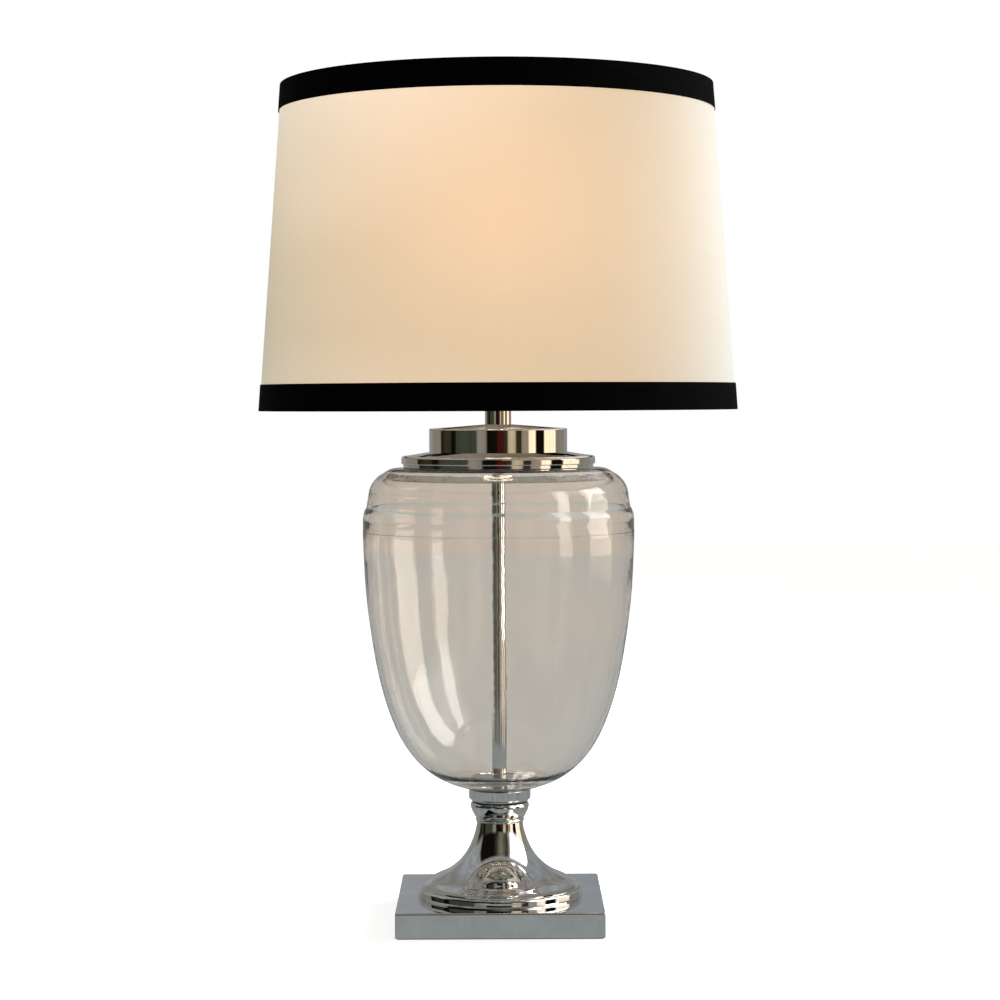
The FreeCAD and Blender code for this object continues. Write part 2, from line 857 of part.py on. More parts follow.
def socket_body():
    """The moulded block that holds the switch, the contact and the screw shell."""
    body = disc(body_r, shell_bottom, body_top)
    body = body.cut(rod(knob_shaft_r + running, V(0, -body_r / 2, knob_z), V(0, -body_r - metal_t, knob_z)))
    wire_way = disc(tube_bore_r, shell_bottom, shell_bottom + body_h / 3)
    body = body.cut(wire_way)
    width = 2 * (terminal_r + terminal_pocket_gap)
    for side, place in terminal_places():
        flat = Part.makeBox(body_r, width, width, V(0, -width / 2, -width / 2))
        if side < 0:
            flat.translate(V(-body_r, 0, 0))
        body = body.cut(flat.translated(place))
    return body


def terminal_screws():
    screws = []
    for side, place in terminal_places():
        out = V(side, 0, 0)
        head = rod(terminal_r, place, place + out * terminal_h)
        slot = box(terminal_h, 2 * (terminal_r + fit), -terminal_slot_w / 2, terminal_slot_w / 2)
        screws.append(head.cut(slot.translated(place + out * terminal_h)))
    return Part.makeCompound(screws)


def ribbed_wall(r_max, wall, depth, z_low, z_high):
    """A round wall pressed into thread ribs: its outline weaves between r_max and r_max - depth."""
    turns = int((z_high - z_low) / thread_pitch)
    margin = (z_high - z_low - turns * thread_pitch) / 2
    outside = [(r_max - depth, z_low)]
    for i in range(turns):
        foot = z_low + margin + i * thread_pitch
        outside += [(r_max - depth, foot), (r_max, foot + thread_pitch / 2, thread_round)]
    outside += [(r_max - depth, z_high - margin), (r_max - depth, z_high)]
    inside = [(corner[0] - wall, corner[1]) for corner in reversed(outside)]
    return lathe(*outside, *inside)


def screw_shell():
    return ribbed_wall(screw_shell_r, screw_shell_t, thread_depth, body_top, body_top + screw_shell_h)


def centre_contact():
    return disc(contact_r, body_top, contact_top)


def switch_shaft():
    tip = -body_r / 2 - rest_gap
    return rod(knob_shaft_r, V(0, tip, knob_z), V(0, tip - knob_shaft_len, knob_z))


def switch_knob():
    """A round knob with two wings, pushed on the end of the shaft."""
    start = V(0, -knob_start, knob_z)
    end = V(0, -knob_start - knob_len, knob_z)
    barrel = Part.makeCone(knob_r, knob_r * knob_taper, knob_len, start, end - start)
    wings = Part.makeBox(
        2 * knob_wing_r, knob_len * knob_wing_share, knob_wing_w,
        V(-knob_wing_r, -knob_start - knob_len, knob_z - knob_wing_w / 2),
    )
    long_edges = [e for e in wings.Edges if e.BoundBox.YLength > knob_len / 2]
    wings = wings.makeFillet(knob_wing_w / 3, long_edges)
    knob = barrel.fuse(wings).removeSplitter()
    return knob.cut(switch_shaft())


# ---- bulb ---------------------------------------------------------------------------------------


def bulb_curve(inset):
    """The bulb's neck, side and crown, moved in by inset, with the two ends of that line."""
    neck = bulb_neck_r - inset
    swell = bulb_r - bulb_neck_r
    rise = bulb_widest - bulb_cap_top
    foot = point(neck, stem_bottom)
    neck_end = point(neck, bulb_cap_top)
    swelling = [point(neck + swell * out, bulb_cap_top + rise * up) for out, up in BULB_SIDE]
    side = spline([neck_end] + swelling + [point(bulb_r - inset, bulb_widest)], UP, UP)
    crown_r = bulb_r - inset
    diagonal = crown_r * math.sqrt(0.5)
    crown = Part.Arc(
        point(crown_r, bulb_widest), point(diagonal, bulb_widest + diagonal), point(0, bulb_widest + crown_r),
    )
    top = point(0, bulb_widest + crown_r)
    return foot, [line(foot, neck_end), side.toShape(), crown.toShape()], top


def bulb_glass():
    foot_out, outside, top_out = bulb_curve(0)
    foot_in, inside, top_in = bulb_curve(bulb_wall)
    return turned(outside + inside + [line(top_out, top_in), line(foot_in, foot_out)])


def bulb_stem():
    """The glass stem that stands in the bulb's neck, flared at its foot."""
    flare_r = bulb_neck_r - bulb_wall - fit
    return lathe(
        (0, stem_bottom), (flare_r, stem_bottom), (stem_r, stem_bottom + stem_h / 3, stem_r),
        (stem_r, stem_top), (0, stem_top),
    )


def bulb_filament():
    """Two wires that rise from the stem and lean out, with the filament strung between their ends."""
    half = [
        V(stem_r / 2, 0, stem_top), V(stem_r / 2, 0, stem_top + stem_r),
        V(filament_span, 0, stem_top + filament_span), V(filament_span / 2, 0, stem_top + filament_rise),
    ]
    points = half + [V(-p.x, p.y, p.z) for p in reversed(half)]
    lengths = [rod(filament_r, a, b) for a, b in zip(points, points[1:])]
    bends = [Part.makeSphere(filament_r, p) for p in points[1:-1]]
    return lengths[0].fuse(lengths[1:] + bends)


def bulb_cap():
    low = bulb_bottom + bulb_tip_h + bulb_insulator_h
    return ribbed_wall(bulb_cap_r, bulb_cap_t, thread_depth, low, bulb_cap_top)


def bulb_insulator():
    low = bulb_bottom + bulb_tip_h
    return lathe(
        (0, low), (bulb_tip_r + bulb_insulator_land, low),
        (bulb_cap_r - thread_depth, low + bulb_insulator_h), (0, low + bulb_insulator_h),
    )


def bulb_tip():
    return lathe(
        (0, bulb_bottom), (bulb_tip_r, bulb_bottom, bulb_tip_round),
        (bulb_tip_r, bulb_bottom + bulb_tip_h), (0, bulb_bottom + bulb_tip_h),
    )


# ---- harp ---------------------------------------------------------------------------------------


def harp_saddle():
    """A steel strip under the socket with a post at each end for the harp's legs."""
    strip_len = 2 * harp_foot_x + saddle_w
    strip = box(strip_len, saddle_w, saddle_bottom, saddle_top)
    upright = [e for e in strip.Edges if e.BoundBox.ZLength > saddle_t / 2]
    strip = strip.makeFillet(saddle_w / 2 - fit, upright)
    posts = [disc(wire_r, saddle_top, post_top).translated(V(side * harp_foot_x, 0, 0)) for side in (-1, 1)]
    return strip.fuse(posts).removeSplitter().cut(tube_hole(saddle_bottom, saddle_top))


def harp_side(side):
    """Half of the harp's line: straight leg, small bend, slanting leg and the arch to the middle."""
    lean = math.radians(harp_flare_deg)
    bend_top_x = harp_foot_x + harp_bend_r * (1 - math.cos(lean))
    bend_z = leg_bottom + harp_leg_straight
    bend_top_z = bend_z + harp_bend_r * math.sin(lean)
    # The slanting leg ends where an arc to the middle of the arch can start: its radius follows from both
    rise = harp_top - bend_top_z
    arch_r = (bend_top_x + rise * math.tan(lean)) / (math.cos(lean) + (1 + math.sin(lean)) * math.tan(lean))
    leg_top_x = arch_r * math.cos(lean)
    arch_z = harp_top - arch_r
    leg_top_z = arch_z - arch_r * math.sin(lean)

    def at(x, z):
        return V(side * x, 0, z)

    middle = math.radians(90 - harp_flare_deg) / 2
    half_bend = lean / 2
    return [
        line(at(harp_foot_x, leg_bottom), at(harp_foot_x, bend_z)),
        Part.Arc(
            at(harp_foot_x, bend_z),
            at(harp_foot_x + harp_bend_r * (1 - math.cos(half_bend)),
               bend_z + harp_bend_r * math.sin(half_bend)),
            at(bend_top_x, bend_top_z),
        ).toShape(),
        line(at(bend_top_x, bend_top_z), at(leg_top_x, leg_top_z)),
        Part.Arc(
            at(leg_top_x, leg_top_z),
            at(arch_r * math.cos(middle), arch_z + arch_r * math.sin(middle)),
            at(0, harp_top),
        ).toShape(),
    ]


def harp_line():
    return Part.Wire(Part.sortEdges(harp_side(1) + harp_side(-1))[0])


def bar_along(path, r):
    """A round bar swept along a wire that starts straight up."""
    section = Part.Wire(Part.makeCircle(r, V(-harp_foot_x, 0, leg_bottom), UP))
    return path.makePipeShell([section], True, True)


def harp_wire():
    return bar_along(harp_line(), wire_r)


def harp_stud():
    """The turned block at the top of the arch, with the shade's seat and the finial's stud."""
    block = disc(stud_block_r, harp_top - stud_block_h / 2, stud_block_top)
    seat = disc(stud_seat_r, stud_block_top, stud_seat_top)
    stud = disc(stud_r, stud_seat_top, stud_seat_top + stud_len)
    whole = block.fuse([seat, stud]).removeSplitter()
    return whole.cut(bar_along(harp_line(), wire_r + running))


def harp_ferrule(side):
    """The sleeve that slides down over a leg's foot and its post."""
    low = saddle_top + rest_gap
    high = low + ferrule_len
    bore_r = wire_r + running
    out_r = bore_r + ferrule_wall
    sleeve = lathe((bore_r, low), (out_r, low), (out_r, high, ferrule_wall / 2), (bore_r, high))
    return sleeve.translated(V(side * harp_foot_x, 0, 0))


# ---- shade --------------------------------------------------------------------------------------


def shade_fabric():
    return slanted_band(shade_bottom + trim_t, shade_top - trim_t, trim_t, trim_t + fabric_t)


def shade_liner():
    return slanted_band(shade_bottom + trim_t, shade_top - trim_t, trim_t + fabric_t, shade_skin)


def ring_place(z_edge, inward):
    """Radius and height of a frame ring's wire, inside the liner next to an edge of the shade."""
    z = z_edge + inward * (trim_t + ring_wire_r + fit)
    return shade_r(z) - shade_skin - ring_gap - ring_wire_r, z


def ring(z_edge, inward):
    ring_r, z = ring_place(z_edge, inward)
    return Part.makeTorus(ring_r, ring_wire_r, point(0, z), UP)


def trim(z_edge, inward):
    """A ribbon folded over an edge of the shade and its ring: a tall leg outside, a short one inside.

    inward is -1 at the upper edge and 1 at the lower one.
    """
    ring_r, ring_z = ring_place(z_edge, inward)
    outer_end = z_edge + inward * trim_h
    inner_end = z_edge + inward * trim_return
    fold = z_edge + inward * trim_t

    def inner_leg_r(z):
        return ring_r - ring_wire_r - ring_gap + shade_r(z) - shade_r(ring_z)

    return lathe(
        (shade_r(z_edge), z_edge), (shade_r(outer_end), outer_end),
        (shade_r(outer_end) - trim_t, outer_end), (shade_r(fold) - trim_t, fold),
        (inner_leg_r(fold), fold), (inner_leg_r(inner_end), inner_end),
        (inner_leg_r(inner_end) - trim_t, inner_end), (inner_leg_r(z_edge) - trim_t, z_edge),
    )


def arm_line(index):
    """The ends of one arm's middle line: on the top ring's middle, and over the hub."""
    ring_r, z = ring_place(shade_top, -1)
    turn = math.radians(90 + 360 / arm_count * index)
    across = V(math.cos(turn), math.sin(turn), 0)
    outer = across * ring_r + V(0, 0, z)
    inner = across * (hub_r - 2 * ring_wire_r) + V(0, 0, hub_top + arm_sink * ring_wire_r)
    return outer, inner


def spider_hub():
    return tube(stud_r + running, hub_r, hub_bottom, hub_top)


def spider_arms():
    """The straight wires that are welded to the top ring and lie on the hub."""
    ring_r, z = ring_place(shade_top, -1)
    ring_space = Part.makeTorus(ring_r, ring_wire_r + fit, point(0, z), UP)
    arms = []
    for i in range(arm_count):
        outer, inner = arm_line(i)
        outer += (inner - outer).normalize() * (arm_weld * ring_wire_r)
        arms.append(rod(ring_wire_r, outer, inner).cut([ring_space, spider_hub()]))
    return Part.makeCompound(arms)


def top_ring():
    return ring(shade_top, -1)


def top_trim():
    """The upper ribbon, with a notch for each arm in its inner leg."""
    notches = [rod(ring_wire_r + arm_notch_gap, *arm_line(i)) for i in range(arm_count)]
    return trim(shade_top, -1).cut(notches)


def bottom_trim():
    return trim(shade_bottom, 1)


def bottom_ring():
    return ring(shade_bottom, 1)


# ---- finial -------------------------------------------------------------------------------------


def finial():
    """A turned knob with a flat base, a waist and a ball, bored for the harp's stud."""
    waist_z = finial_bottom + finial_base_h
    waist_top = waist_z + finial_waist_h
    ball_rise = math.sqrt(finial_ball_r ** 2 - finial_waist_r ** 2)
    bore_r = stud_r + running
    bore_top = finial_bottom + stud_len
    stem = lathe(
        (bore_r, finial_bottom), (finial_base_r, finial_bottom, finial_edge_r),
        (finial_base_r, waist_z - finial_shoulder, finial_shoulder), (finial_waist_r, waist_z),
        (finial_waist_r, waist_top), (0, waist_top), (0, bore_top), (bore_r, bore_top),
    )
    ball = Part.makeSphere(finial_ball_r, point(0, waist_top + ball_rise))
    whole = stem.fuse(ball).removeSplitter()
    return whole.cut(disc(bore_r, finial_bottom, bore_top))


# ---- output -------------------------------------------------------------------------------------

PARTS = {
    "base_cover": base_cover,
    "base_weight": base_weight,
    "closing_plate": closing_plate,
    "plate_screws": plate_screws,
    "felt_pad": felt_pad,
    "cord_grommet": cord_grommet,
    "tube_nut": tube_nut,
    "tube_lock_washer": tube_lock_washer,
    "tube_washer": tube_washer,
    "lamp_tube": lamp_tube,
    "flared_foot": flared_foot,
    "gap_washer": gap_washer,
    "glass_cup": glass_cup,
    "lower_gasket": lower_gasket,
    "glass_urn": glass_urn,
    "inner_gasket": inner_gasket,
    "inner_washer": inner_washer,
    "tube_sleeve": tube_sleeve,
    "upper_gasket": upper_gasket,
    "lid_plate": lid_plate,
    "lid_washer": lid_washer,
    "lid_nut": lid_nut,
    "lid_disc": lid_disc,
    "lid_drum": lid_drum,
    "neck_tube": neck_tube,
    "neck_ring": neck_ring,
    "harp_saddle": harp_saddle,
    "socket_cap": socket_cap,
    "socket_set_screw": socket_set_screw,
    "socket_shell": socket_shell,
    "socket_liner": socket_liner,
    "socket_body": socket_body,
    "terminal_screws": terminal_screws,
    "screw_shell": screw_shell,
    "centre_contact": centre_contact,
    "switch_shaft": switch_shaft,
    "switch_knob": switch_knob,
    "bulb_glass": bulb_glass,
    "bulb_stem": bulb_stem,
    "bulb_filament": bulb_filament,
    "bulb_cap": bulb_cap,
    "bulb_insulator": bulb_insulator,
    "bulb_tip": bulb_tip,
    "harp_wire": harp_wire,
    "harp_stud": harp_stud,
    "harp_ferrule_left": lambda: harp_ferrule(-1),
    "harp_ferrule_right": lambda: harp_ferrule(1),
    "shade_liner": shade_liner,
    "shade_fabric": shade_fabric,
    "shade_top_trim": top_trim,
    "shade_bottom_trim": bottom_trim,
    "shade_top_ring": top_ring,
    "spider_arms": spider_arms,
    "spider_hub": spider_hub,
    "shade_bottom_ring": bottom_ring,
    "finial": finial,
}


def main():
    os.makedirs("parts", exist_ok=True)
    for name, make in PARTS.items():
        shape = make()
        if not shape.isValid() or not shape.Solids:
            raise ValueError(f"{name} is not a valid solid")
        shape.exportStep(f"parts/{name}.step")
        print(f"{name:20s} {len(shape.Solids)} solid(s), {shape.Volume / 1000:9.3f} cm3")


main()
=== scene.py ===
"""Looks of a table lamp with a glass urn body and a lit drum shade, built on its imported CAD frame.

Metres, +Z up, origin at the middle of the base's underside. The lamp's front faces -Y.
"""

import bpy
import json
import math
import random
from mathutils import Euler, Matrix, Vector


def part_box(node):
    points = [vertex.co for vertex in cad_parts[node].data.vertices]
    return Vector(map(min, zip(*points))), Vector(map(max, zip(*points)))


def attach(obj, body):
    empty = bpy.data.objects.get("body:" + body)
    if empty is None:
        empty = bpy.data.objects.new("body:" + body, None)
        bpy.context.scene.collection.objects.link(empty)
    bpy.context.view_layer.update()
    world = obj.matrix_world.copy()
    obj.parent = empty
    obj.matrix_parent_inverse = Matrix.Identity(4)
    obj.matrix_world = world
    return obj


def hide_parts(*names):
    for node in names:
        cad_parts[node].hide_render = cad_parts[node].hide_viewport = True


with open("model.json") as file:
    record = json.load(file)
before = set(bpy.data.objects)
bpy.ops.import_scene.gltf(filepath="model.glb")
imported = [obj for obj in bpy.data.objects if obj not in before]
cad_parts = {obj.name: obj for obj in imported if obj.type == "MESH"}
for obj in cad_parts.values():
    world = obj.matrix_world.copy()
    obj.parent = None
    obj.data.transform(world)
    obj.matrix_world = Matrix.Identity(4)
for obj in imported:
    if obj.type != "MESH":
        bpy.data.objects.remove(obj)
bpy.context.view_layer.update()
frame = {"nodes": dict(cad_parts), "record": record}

BACK = math.pi / 2
TURN = 2 * math.pi
BLACK = (0.0, 0.0, 0.0)
FULL = (1.0, 1.0, 1.0)

# ---- camera ---------------------------------------------------------------------------------------

LENS = 90.0
SENSOR = 36.0
CAMERA_AT = (0.0013, -2.0957, 0.4369)
CAMERA_PITCH = 0.0399  # down
CAMERA_ROLL = -0.0045


def make_camera():
    data = bpy.data.cameras.new("camera")
    data.lens = LENS
    data.sensor_width = SENSOR
    camera = bpy.data.objects.new("camera", data)
    aim = Euler((math.pi / 2 - CAMERA_PITCH, 0, 0)).to_matrix() @ Matrix.Rotation(CAMERA_ROLL, 3, "Z")
    camera.rotation_euler = aim.to_euler()
    camera.location = CAMERA_AT
    bpy.context.collection.objects.link(camera)
    bpy.context.scene.camera = camera


# ---- node helpers ---------------------------------------------------------------------------------


class Nodes:
    """Short names for building a node tree."""

    def __init__(self, tree):
        self.tree = tree
        tree.nodes.clear()

    def add(self, kind, values=None, **settings):
        node = self.tree.nodes.new(kind)
        for name, value in settings.items():
            setattr(node, name, value)
        for socket, value in (values or {}).items():
            self.put(node.inputs[socket], value)
        return node

    def put(self, socket, value):
        """Sets a socket to a number or a colour, or links another socket to it."""
        if isinstance(value, bpy.types.NodeSocket):
            self.tree.links.new(value, socket)
        elif isinstance(value, (tuple, list)) and len(value) == 3 and socket.type == "RGBA":
            socket.default_value = (*value, 1.0)
        else:
            socket.default_value = value

    def math(self, operation, a, b=0.0, c=0.0, clamp=False):
        values = {0: a, 1: b, 2: c}
        return self.add("ShaderNodeMath", values, operation=operation, use_clamp=clamp).outputs[0]

    def remap(self, value, low, high, out_low=0.0, out_high=1.0):
        values = {0: value, 1: low, 2: high, 3: out_low, 4: out_high}
        return self.add("ShaderNodeMapRange", values).outputs[0]

    def ramp(self, factor, stops):
        node = self.add("ShaderNodeValToRGB", {0: factor})
        ramp = node.color_ramp
        while len(ramp.elements) < len(stops):
            ramp.elements.new(0.5)
        for element, (place, colour) in zip(ramp.elements, stops):
            element.position = place
            element.color = (*colour, 1.0)
        return node.outputs[0]

    def mix(self, factor, a, b, blend="MIX"):
        node = self.add("ShaderNodeMix", {0: factor}, data_type="RGBA", blend_type=blend)
        self.put(node.inputs[6], a)
        self.put(node.inputs[7], b)
        return node.outputs[2]

    def noise(self, where, scale, detail=2.0, roughness=0.5):
        values = {"Vector": where, "Scale": scale, "Detail": detail, "Roughness": roughness}
        return self.add("ShaderNodeTexNoise", values).outputs[0]

    def place(self, kind="Object", stretch=(1, 1, 1)):
        """Coordinates of the surface, Object or UV, stretched along each axis."""
        source = self.add("ShaderNodeTexCoord").outputs[kind]
        return self.add("ShaderNodeMapping", {"Vector": source, "Scale": stretch}).outputs[0]

    def bump(self, height, distance, strength=1.0, normal=None):
        values = {"Height": height, "Distance": distance, "Strength": strength}
        if normal is not None:
            values["Normal"] = normal
        return self.add("ShaderNodeBump", values).outputs[0]

    def shade(self, **values):
        """The material's Principled shader. A socket's name is written with underscores for its spaces."""
        named = {name.replace("_", " "): value for name, value in values.items()}
        return self.add("ShaderNodeBsdfPrincipled", named).outputs[0]

    def finish(self, shader, kind="ShaderNodeOutputMaterial"):
        self.add(kind, {0: shader})


def material(name):
    made = bpy.data.materials.new(name)
    made.use_nodes = True
    return made, Nodes(made.node_tree)


# ---- materials ------------------------------------------------------------------------------------


def chrome(name, rough_low, rough_high):
    """Mirror plate over polished metal: faint waves in its reflections, wiping marks and haze."""
    made, n = material(name)
    place = n.place()
    waves = n.noise(place, scale=9.0, detail=1.0)
    wiped = n.noise(n.place(stretch=(1, 1, 14)), scale=160.0, detail=3.0, roughness=0.6)
    haze = n.noise(place, scale=34.0, detail=5.0, roughness=0.7)
    rough = n.remap(n.math("MULTIPLY", wiped, haze), low=0.12, high=0.42, out_low=rough_low,
                    out_high=rough_high)
    normal = n.bump(waves, distance=0.0006, strength=0.35,
                    normal=n.bump(wiped, distance=0.00001, strength=0.15))
    tint = n.mix(n.remap(haze, low=0.35, high=0.65), (0.70, 0.71, 0.71), (0.82, 0.825, 0.82))
    n.finish(n.shade(Base_Color=tint, Metallic=1.0, Roughness=rough, Normal=normal))
    return made


def polished_chrome():
    return chrome("polished_chrome", rough_low=0.008, rough_high=0.045)


def drawn_chrome():
    """The same plate on drawn tube, whose surface is a little less flat."""
    return chrome("drawn_chrome", rough_low=0.03, rough_high=0.07)


def brushed(name, dark, light, rough_low, rough_high, grain=(1, 1, 30)):
    """Plated steel or nickel with a drawn grain."""
    made, n = material(name)
    lines = n.noise(n.place(stretch=grain), scale=220.0, detail=3.0, roughness=0.6)
    stains = n.noise(n.place(), scale=35.0, detail=4.0)
    tint = n.mix(stains, dark, light)
    rough = n.remap(lines, low=0.3, high=0.7, out_low=rough_low, out_high=rough_high)
    normal = n.bump(lines, distance=0.00002, strength=0.5)
    n.finish(n.shade(Base_Color=tint, Metallic=1.0, Roughness=rough, Normal=normal))
    return made


def zinc_steel():
    return brushed("zinc_steel", dark=(0.84, 0.72, 0.55), light=(0.93, 0.83, 0.67), rough_low=0.18,
                   rough_high=0.34)


def socket_nickel():
    return brushed("socket_nickel", dark=(0.60, 0.58, 0.52), light=(0.72, 0.70, 0.64), rough_low=0.12,
                   rough_high=0.26)


def harp_nickel():
    return brushed("harp_nickel", dark=(0.58, 0.57, 0.53), light=(0.72, 0.70, 0.66), rough_low=0.14,
                   rough_high=0.28)


def plain_brass():
    return brushed("plain_brass", dark=(0.62, 0.43, 0.16), light=(0.80, 0.60, 0.28), rough_low=0.16,
                   rough_high=0.34)


def cap_aluminium():
    return brushed("cap_aluminium", dark=(0.66, 0.66, 0.65), light=(0.82, 0.82, 0.81), rough_low=0.22,
                   rough_high=0.38)


def tungsten():
    return brushed("tungsten", dark=(0.20, 0.20, 0.20), light=(0.36, 0.35, 0.34), rough_low=0.35,
                   rough_high=0.5)


def solder():
    return brushed("solder", dark=(0.42, 0.42, 0.41), light=(0.60, 0.60, 0.59), rough_low=0.35,
                   rough_high=0.55, grain=(1, 1, 1))


def grainy(name, dark, light, rough_low, rough_high, scale, depth, **more):
    """A dull surface with a fine grain: cast iron, rubber, moulded plastic, board or enamel."""
    made, n = material(name)
    grain = n.noise(n.place(), scale=scale, detail=4.0, roughness=0.6)
    blotches = n.noise(n.place(), scale=scale / 25, detail=3.0)
    tint = n.mix(n.math("MULTIPLY", blotches, grain, clamp=True), dark, light)
    rough = n.remap(grain, low=0.3, high=0.7, out_low=rough_low, out_high=rough_high)
    normal = n.bump(grain, distance=depth, strength=0.6)
    n.finish(n.shade(Base_Color=tint, Roughness=rough, Normal=normal, **more))
    return made


def cast_iron_weight():
    return grainy("cast_iron_weight", dark=(0.012, 0.012, 0.012), light=(0.07, 0.068, 0.065),
                  rough_low=0.6, rough_high=0.85, scale=700.0, depth=0.0004)


def black_rubber():
    return grainy("black_rubber", dark=(0.008, 0.008, 0.008), light=(0.022, 0.022, 0.022), rough_low=0.55,
                  rough_high=0.75, scale=1400.0, depth=0.00005)


def clear_gasket():
    return grainy("clear_gasket", dark=(0.50, 0.49, 0.46), light=(0.66, 0.65, 0.62), rough_low=0.3,
                  rough_high=0.45, scale=900.0, depth=0.00003,
                  Transmission_Weight=0.5, IOR=1.41)


def black_phenolic():
    return grainy("black_phenolic", dark=(0.010, 0.009, 0.008), light=(0.030, 0.027, 0.024),
                  rough_low=0.28, rough_high=0.42, scale=900.0, depth=0.00003)


def knob_black():
    return grainy("knob_black", dark=(0.006, 0.006, 0.006), light=(0.016, 0.016, 0.016), rough_low=0.10,
                  rough_high=0.22, scale=500.0, depth=0.00002,
                  Coat_Weight=0.4, Coat_Roughness=0.08)


def black_glass():
    return grainy("black_glass", dark=(0.006, 0.006, 0.008), light=(0.02, 0.02, 0.025), rough_low=0.08,
                  rough_high=0.16, scale=300.0, depth=0.00002)


def socket_card():
    return grainy("socket_card", dark=(0.22, 0.15, 0.09), light=(0.42, 0.32, 0.21), rough_low=0.7,
                  rough_high=0.9, scale=1200.0, depth=0.00008)


def white_wire():
    return grainy("white_wire", dark=(0.62, 0.60, 0.56), light=(0.84, 0.82, 0.78), rough_low=0.22,
                  rough_high=0.34, scale=600.0, depth=0.00003,
                  Coat_Weight=0.3, Coat_Roughness=0.15)


def black_felt():
    """Pressed wool felt: short tangled fibres."""
    made, n = material("black_felt")
    fibres = n.noise(n.place(stretch=(1, 3, 1)), scale=1500.0, detail=5.0, roughness=0.7)
    crossed = n.noise(n.place(stretch=(3, 1, 1)), scale=1300.0, detail=5.0, roughness=0.7)
    nap = n.math("MULTIPLY", fibres, crossed)
    tint = n.mix(n.remap(nap, low=0.1, high=0.45), (0.006, 0.006, 0.006), (0.035, 0.034, 0.033))
    normal = n.bump(nap, distance=0.0006, strength=0.8)
    n.finish(n.shade(Base_Color=tint, Roughness=0.95, Normal=normal, Sheen_Weight=0.35,
                     Sheen_Roughness=0.5))
    return made


def clear_glass():
    """Blown clear glass: slow waves in the wall, and a faint patchy film of dust and handling marks."""
    made, n = material("clear_glass")
    waves = n.noise(n.place(stretch=(1, 1, 0.45)), scale=14.0, detail=1.5)
    film = n.noise(n.place(stretch=(1, 1, 0.6)), scale=24.0, detail=6.0, roughness=0.7)
    streaks = n.noise(n.place(stretch=(1, 1, 0.12)), scale=70.0, detail=3.0, roughness=0.6)
    dust = n.math("MULTIPLY", film, streaks)
    clear = n.remap(dust, low=0.16, high=0.40, out_low=1.0, out_high=0.965)
    rough = n.remap(dust, low=0.16, high=0.40, out_low=0.0, out_high=0.03)
    normal = n.bump(waves, distance=0.0009, strength=0.2)
    n.finish(n.shade(Base_Color=(0.97, 0.965, 0.955), Roughness=rough, IOR=1.5, Transmission_Weight=clear,
                     Normal=normal))
    return made


def stem_glass():
    made, n = material("stem_glass")
    normal = n.bump(n.noise(n.place(), scale=120.0, detail=1.0), distance=0.0003, strength=0.4)
    n.finish(n.shade(Base_Color=(0.95, 0.95, 0.94), Roughness=0.03, IOR=1.5, Transmission_Weight=1.0,
                     Normal=normal))
    return made


BULB_GLOW = (1.0, 0.79, 0.56)
BULB_NECK_GLOW = 8.0
BULB_FULL_GLOW = 11.0
BULB_GLOW_RISE = (0.25, 0.6)  # shares of its height between which the glow rises


def frosted_glass():
    """The lit bulb: etched glass that glows, a little less towards its neck."""
    made, n = material("frosted_glass")
    etched = n.noise(n.place(), scale=900.0, detail=3.0, roughness=0.6)
    rough = n.remap(etched, low=0.3, high=0.7, out_low=0.32, out_high=0.5)
    low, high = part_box("bulb_glass")
    neck_z, full_z = [low[2] + share * (high[2] - low[2]) for share in BULB_GLOW_RISE]
    height = n.add("ShaderNodeSeparateXYZ", {0: n.place()}).outputs[2]
    lit = n.remap(height, low=neck_z, high=full_z, out_low=BULB_NECK_GLOW, out_high=BULB_FULL_GLOW)
    normal = n.bump(etched, distance=0.00003, strength=0.4)
    n.finish(n.shade(Base_Color=(0.93, 0.91, 0.87), Roughness=rough, Normal=normal,
                     Emission_Color=BULB_GLOW, Emission_Strength=lit))
    return made


THREAD_DRIFT = 1.6  # how far threads wander, in pitches
SLUB_LENGTH = 1 / 6  # metres
SLUB_WIDTHS = 0.9  # slubs per thread


def weave(n, pitch_across, pitch_along):
    """Height of a plain weave and its slubs in both directions, from UV in metres."""
    uv = n.place("UV")
    drift = n.noise(n.place("UV", stretch=(14, 14, 1)), scale=9.0, detail=2.0)
    u, v, _ = n.add("ShaderNodeSeparateXYZ", {0: uv}).outputs
    u = n.math("MULTIPLY_ADD", drift, pitch_across * THREAD_DRIFT, u)
    v = n.math("MULTIPLY_ADD", drift, pitch_along * THREAD_DRIFT, v)
    across = n.math("SINE", n.math("MULTIPLY", u, TURN / pitch_across))
    along = n.math("SINE", n.math("MULTIPLY", v, TURN / pitch_along))
    over = n.math("MULTIPLY", across, along)
    warp_slub = n.noise(n.place("UV", stretch=(1 / pitch_across, 1 / SLUB_LENGTH, 1)), scale=SLUB_WIDTHS,
                        detail=2.0, roughness=0.6)
    weft_slub = n.noise(n.place("UV", stretch=(1 / SLUB_LENGTH, 1 / pitch_along, 1)), scale=SLUB_WIDTHS,
                        detail=2.0, roughness=0.6)
    slub = n.math("ADD", warp_slub, weft_slub)
    return over, slub


LINEN_PITCH = 0.0009
# Colours of the cloth's painted glow (its emission), where the cloth faces the eye and towards its edges
LINEN_PAINTED_GLOW_FACING = (0.50, 0.385, 0.240)
LINEN_PAINTED_GLOW_EDGE = (0.21, 0.290, 0.235)
PAINTED_INNER_GLOW = 0.25  # the painted glow of the cloth's back, as a share of its face's
CLOTH_SHARE = 0.45  # of the cloth's look that is its lit face; the rest is light that comes through
FORWARD_SHARE = 0.12  # of the light that comes through nearly straight
FORWARD_TINT = (1.0, 0.46, 0.18)
FORWARD_BEND = 1.6
WEAVE_SHARE = 0.16


